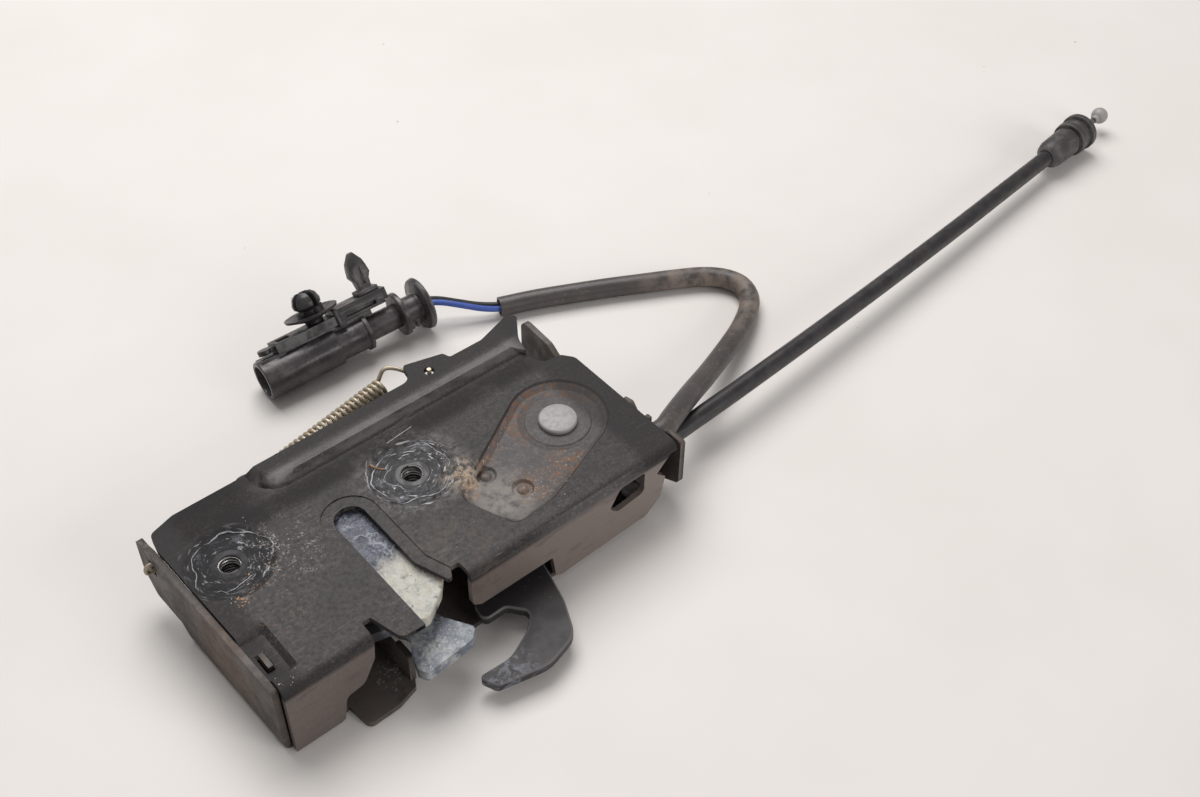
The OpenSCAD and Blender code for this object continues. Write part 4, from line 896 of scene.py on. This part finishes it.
coilSides = 10
liftSpring = {"from": (41.5, 24.8, 25.2), "to": (-4.5, 20.4, 20.6), "diameter": 6.6, "wire": 1.5,
              "turns": 24,
              "head": [(53.9, 15.1, 32.6), (53.9, 15.2, 29.4), (53.6, 16.7, 27.1), (52.3, 19.1, 26.9),
                       (49.3, 23.5, 28.3), (46.5, 26.5, 29.1), (43.9, 27.5, 28.9)],
              "tail": [(-7.1, 22.6, 20.8), (-9.9, 23.2, 20.6), (-12.2, 22.5, 19.4), (-12.5, 22.5, 15)]}
pawlSpring = {"from": (-38.5, 8, 22.4), "to": (-0.5, 7.4, 22.4), "diameter": 5, "wire": 1.5, "turns": 16,
              "head": [(-51.1, 8.4, 20.2), (-54.1, 8.4, 20.4), (-54.7, 8.3, 22), (-53.5, 8.2, 23.6),
                       (-46.5, 8, 23.6), (-40.5, 7.4, 24)],
              "tail": [(3.5, 5.2, 22), (9.5, 3.4, 21), (12.9, 2.6, 20.4), (13.5, 2.4, 19), (13.5, 2.4, 15)]}
releaseSpring = {"centre": (74.5, -26.2), "radius": 6.6, "base": 12.8, "pitch": 1.8, "turns": 3,
                 "start": 60, "wire": 1.6, "head": [(83.5, -12.2, 12.8), (80.5, -16.6, 12.8)],
                 "tail": [(73.5, -16.2, 18.2), (69.5, -12.2, 18.2)],
                 "from": (74.5, -26.2, 18), "to": (74.5, -26.2, 13)}
hookSpring = {"centre": (42.5, -33), "radius": 5, "base": 9, "pitch": 1.2, "turns": 2, "start": 200,
              "wire": 1.1, "head": [(33.5, -31, 9), (36.1, -32.4, 9)],
              "tail": [(37.9, -38, 11.2), (40.5, -42, 11.2)],
              "from": (42.5, -33, 11.2), "to": (42.5, -33, 9.2)}


def stretchedCoil(s):
    a = Vector(s["from"])
    b = Vector(s["to"])
    ahead = (b - a).normalized()
    side = ahead.cross(Vector((0, 0, 1))).normalized()
    top = ahead.cross(side)
    radius = (s["diameter"] - s["wire"]) / 2
    steps = 20
    count = s["turns"] * steps
    coil = []
    for i in range(count + 1):
        w = tau * i / steps
        coil.append(a.lerp(b, i / count) + radius * (side * math.cos(w) + top * math.sin(w)))
    head, _ = smoothLine(s["head"] + [tuple(coil[0])], 0.6)
    tail, _ = smoothLine([tuple(coil[-1])] + s["tail"], 0.6)
    return head[:-1] + [p * mm for p in coil] + tail[1:]


def woundCoil(s):
    steps = 24
    coil = []
    for i in range(s["turns"] * steps + 1):
        w = math.radians(s["start"]) + tau * i / steps
        x = s["centre"][0] + s["radius"] * math.cos(w)
        y = s["centre"][1] + s["radius"] * math.sin(w)
        coil.append((x, y, s["base"] + s["pitch"] * i / steps))
    head, _ = smoothLine(s["head"] + [coil[0]], 0.8)
    tail, _ = smoothLine([coil[-1]] + s["tail"], 0.8)
    return head[:-1] + [Vector(p) * mm for p in coil] + tail[1:]


def springPiece(name, node, s, wind):
    piece = sweptWire(name, wind(s), s["wire"] / 2 * mm, coilSides, finishes["springWire"])
    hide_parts(node)
    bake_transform(piece)


springPiece("liftSpringCoil", "lift_spring", liftSpring, stretchedCoil)
springPiece("pawlSpringCoil", "pawl_spring", pawlSpring, stretchedCoil)
springPiece("releaseSpringCoil", "release_spring", releaseSpring, woundCoil)
springPiece("hookSpringCoil", "hook_spring", hookSpring, woundCoil)
print("springs wound")


# fixing threads in the two collars

thread = {"radius": 3.4, "pitch": 1.25, "ridge": 0.34, "sides": 6, "left": (20.6, 29.1), "right": (2.6, 29.1)}
for side in ("left", "right"):
    x, y, _ = holes[side]
    low, high = thread[side]
    turns = (high - low) / thread["pitch"]
    steps = 24
    path = []
    for i in range(round(turns * steps) + 1):
        w = tau * i / steps
        out = Vector((thread["radius"] * math.cos(w), thread["radius"] * math.sin(w), 0))
        path.append((Vector((x, y, low + thread["pitch"] * i / steps)) + out) * mm)
    ridge = sweptWire(side + "Thread", path, thread["ridge"] * mm, thread["sides"], finishes["threadSteel"])
    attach(ridge, "frame")
print("threads cut")


# grease beads round the fixings, a splinter and a fibre, laid on the plate

plateMesh = bodyPieces["front_plate"].data
plateSkin = BVHTree.FromPolygons([v.co for v in plateMesh.vertices],
                                 [p.vertices for p in plateMesh.polygons])
chance = random.Random(11)
above = 60 * mm
lowest = 24 * mm  # below this a ray has gone through an opening
beadSides = 7


def onPlate(x, y, lift=0.0):
    place, normal, _, _ = plateSkin.ray_cast(Vector((x * mm, y * mm, above)), Vector((0, 0, -1)))
    if place is None or normal.z < 0.5 or place.z < lowest:
        return None
    return place + Vector((0, 0, lift * mm))


beads = [
    {"hole": "right", "radius": 11, "start": 215, "sweep": 105, "thick": 0.24},
    {"hole": "right", "radius": 11.4, "start": 335, "sweep": 90, "thick": 0.18},
    {"hole": "right", "radius": 12, "start": 90, "sweep": 110, "thick": 0.24},
    {"hole": "right", "radius": 7.4, "start": 110, "sweep": 120, "thick": 0.14},
    {"hole": "right", "radius": 14, "start": 120, "sweep": 50, "thick": 0.14},
    {"hole": "left", "radius": 12, "start": 20, "sweep": 80, "thick": 0.24},
    {"hole": "left", "radius": 10.4, "start": 105, "sweep": 90, "thick": 0.18},
    {"hole": "left", "radius": 9.4, "start": 215, "sweep": 80, "thick": 0.14},
    {"hole": "left", "radius": 11.8, "start": 330, "sweep": 50, "thick": 0.14},
]


def beadLine(b):
    x, y, _ = holes[b["hole"]]
    steps = max(12, round(b["sweep"] / 4))
    shift = b["radius"] * 1.7
    line = []
    for i in range(steps + 1):
        w = math.radians(b["start"] + b["sweep"] * i / steps)
        wave = noise.noise(Vector((math.cos(w) * 1.6 + shift, math.sin(w) * 1.6, 0)))
        fine = noise.noise(Vector((math.cos(w) * 6, math.sin(w) * 6 + shift, 1)))
        r = b["radius"] + 2.2 * wave + 0.5 * fine
        point = onPlate(x + r * 1.06 * math.cos(w), y + r * math.sin(w), b["thick"] * 0.3)
        if point is not None:
            line.append(point)
    return line


# thick and thin by turns, and drawn out at both ends
def beadSwell(point, share):
    taper = min(1, 6 * share, 6 * (1 - share))
    return 0.15 + 0.85 * taper * (0.75 + 0.9 * noise.noise(point / mm * 0.35))


for thick in sorted({b["thick"] for b in beads}):
    lines = [beadLine(b) for b in beads if b["thick"] == thick]
    swelling = [beadSwell(p, i / (len(line) - 1)) for line in lines for i, p in enumerate(line)]
    bead = sweptWires("greaseBeads%d" % round(thick * 100), lines, thick * mm, beadSides,
                      finishes["greaseBead"], swelling)
    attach(bead, "frame")

strands = {
    "splinter": {"ends": ((16.5, -5.4), (19.2, -9.6)), "thick": 0.32, "finish": "rustCrumb"},
    "fibre": {"ends": ((25.7, -1.3), (35.7, -0.3)), "thick": 0.1, "finish": "paleCrumb"},
}
for name, s in strands.items():
    (x0, y0), (x1, y1) = s["ends"]
    shares = [i / 10 for i in range(11)]
    line = [onPlate(x0 + (x1 - x0) * t, y0 + (y1 - y0) * t, s["thick"] * 0.6) for t in shares]
    strand = sweptWire(name, line, s["thick"] * mm, beadSides, finishes[s["finish"]])
    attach(strand, "frame")
print("grease beads laid:", len(beads))


# crumbs and grit, one lump on each of many points

def scatterTree():
    tree = bpy.data.node_groups.new("crumbScatter", "GeometryNodeTree")
    tree.interface.new_socket("Points", in_out="INPUT", socket_type="NodeSocketGeometry")
    tree.interface.new_socket("Material", in_out="INPUT", socket_type="NodeSocketMaterial")
    tree.interface.new_socket("Crumbs", in_out="OUTPUT", socket_type="NodeSocketGeometry")
    start = tree.nodes.new("NodeGroupInput")
    end = tree.nodes.new("NodeGroupOutput")
    lump = tree.nodes.new("GeometryNodeMeshIcoSphere")
    lump.inputs["Radius"].default_value = 1
    lump.inputs["Subdivisions"].default_value = 1
    size = tree.nodes.new("GeometryNodeInputNamedAttribute")
    size.data_type = "FLOAT_VECTOR"
    size.inputs["Name"].default_value = "size"
    turn = tree.nodes.new("FunctionNodeRandomValue")
    turn.data_type = "FLOAT_VECTOR"
    turn.inputs["Seed"].default_value = 0
    turn.inputs["Min"].default_value = (-0.7, -0.7, 0)
    turn.inputs["Max"].default_value = (0.7, 0.7, tau)
    copies = tree.nodes.new("GeometryNodeInstanceOnPoints")
    real = tree.nodes.new("GeometryNodeRealizeInstances")
    paint = tree.nodes.new("GeometryNodeSetMaterial")
    join = tree.links.new
    join(start.outputs["Points"], copies.inputs["Points"])
    join(lump.outputs["Mesh"], copies.inputs["Instance"])
    join(size.outputs["Attribute"], copies.inputs["Scale"])
    join(turn.outputs["Value"], copies.inputs["Rotation"])
    join(copies.outputs[0], real.inputs[0])
    join(real.outputs[0], paint.inputs["Geometry"])
    join(start.outputs["Material"], paint.inputs["Material"])
    join(paint.outputs[0], end.inputs[0])
    return tree


crumbScatter = scatterTree()
crumbs = {
    "paleCrumb": [
        {"at": (-24, -16), "spread": 4, "count": 26, "size": (0.08, 0.3)},
        {"at": (-19, -23), "spread": 5, "count": 20, "size": (0.06, 0.22)},
        {"at": (-26, -5), "spread": 6, "count": 16, "size": (0.06, 0.2)},
        {"at": (-42, -24), "spread": 3, "count": 16, "size": (0.08, 0.3)},
        {"at": (35.5, -30), "spread": 5, "count": 24, "size": (0.1, 0.36)},
        {"at": (54, -46), "spread": 12, "count": 30, "size": (0.08, 0.26)},
        {"at": (37, -16), "spread": 5, "count": 24, "size": (0.1, 0.34)},
        {"at": (-46, -56), "spread": 4, "count": 12, "size": (0.1, 0.3)},
    ],
    "rustCrumb": [
        {"at": (-40, -25), "spread": 3, "count": 16, "size": (0.2, 0.6)},
        {"at": (-27.5, -19), "spread": 2, "count": 7, "size": (0.2, 0.55)},
        {"at": (-36, -22), "spread": 3, "count": 10, "size": (0.2, 0.5)},
        {"at": (36, -29), "spread": 4, "count": 22, "size": (0.12, 0.45)},
        {"at": (56, -45), "spread": 10, "count": 30, "size": (0.08, 0.32)},
        {"at": (-12, -36), "spread": 14, "count": 10, "size": (0.08, 0.24)},
    ],
    "darkCrumb": [
        {"at": (-20, -4), "spread": 20, "count": 40, "size": (0.08, 0.22)},
        {"at": (30, -40), "spread": 18, "count": 40, "size": (0.08, 0.22)},
    ],
}


def crumbPiece(finish, patches):
    places = []
    sizes = []
    for p in patches:
        for _ in range(p["count"]):
            x = chance.gauss(p["at"][0], p["spread"] / 2)
            y = chance.gauss(p["at"][1], p["spread"] / 2)
            place = onPlate(x, y)
            big = chance.uniform(*p["size"]) * mm
            if place is not None:
                places.append(tuple(place))
                sizes += [big, big * chance.uniform(0.3, 0.9), big * chance.uniform(0.25, 0.55)]
    mesh = bpy.data.meshes.new(finish + "Points")
    mesh.from_pydata(places, [], [])
    mesh.attributes.new("size", "FLOAT_VECTOR", "POINT").data.foreach_set("vector", sizes)
    piece = linked(finish + "s", mesh)
    scatter = piece.modifiers.new("scatter", "NODES")
    setInputs(scatter, crumbScatter, {"Material": finishes[finish]})
    made = applied(piece)
    made.shade_flat()
    paint(made, finishes[finish])
    piece.data = made
    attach(piece, "frame")
    return len(places)


for finish, patches in crumbs.items():
    print("crumbs of", finish, crumbPiece(finish, patches))


# the table

table = {"colour": tone(226, 222, 219), "size": 14.0}


def tableTop():
    f = Finish("tableTop", table["colour"], 0.55)
    f.coat(f.cloud(120, 0.35, 0.7, detail=3), tone(220, 215, 212), 0.6)
    f.coat(f.both(f.specks(24, 0.03, 0.3), f.cloud(60, 0.45, 0.55, seed=0.5)), tone(150, 140, 130), 0.6)
    return f.done()


half = table["size"] / 2
tableMesh = bpy.data.meshes.new("table")
corners = [(-half, -half, 0), (half, -half, 0), (half, half, 0), (-half, half, 0)]
tableMesh.from_pydata(corners, [], [(0, 1, 2, 3)])
tableMesh.materials.append(tableTop())
tableObject = linked("table", tableMesh)
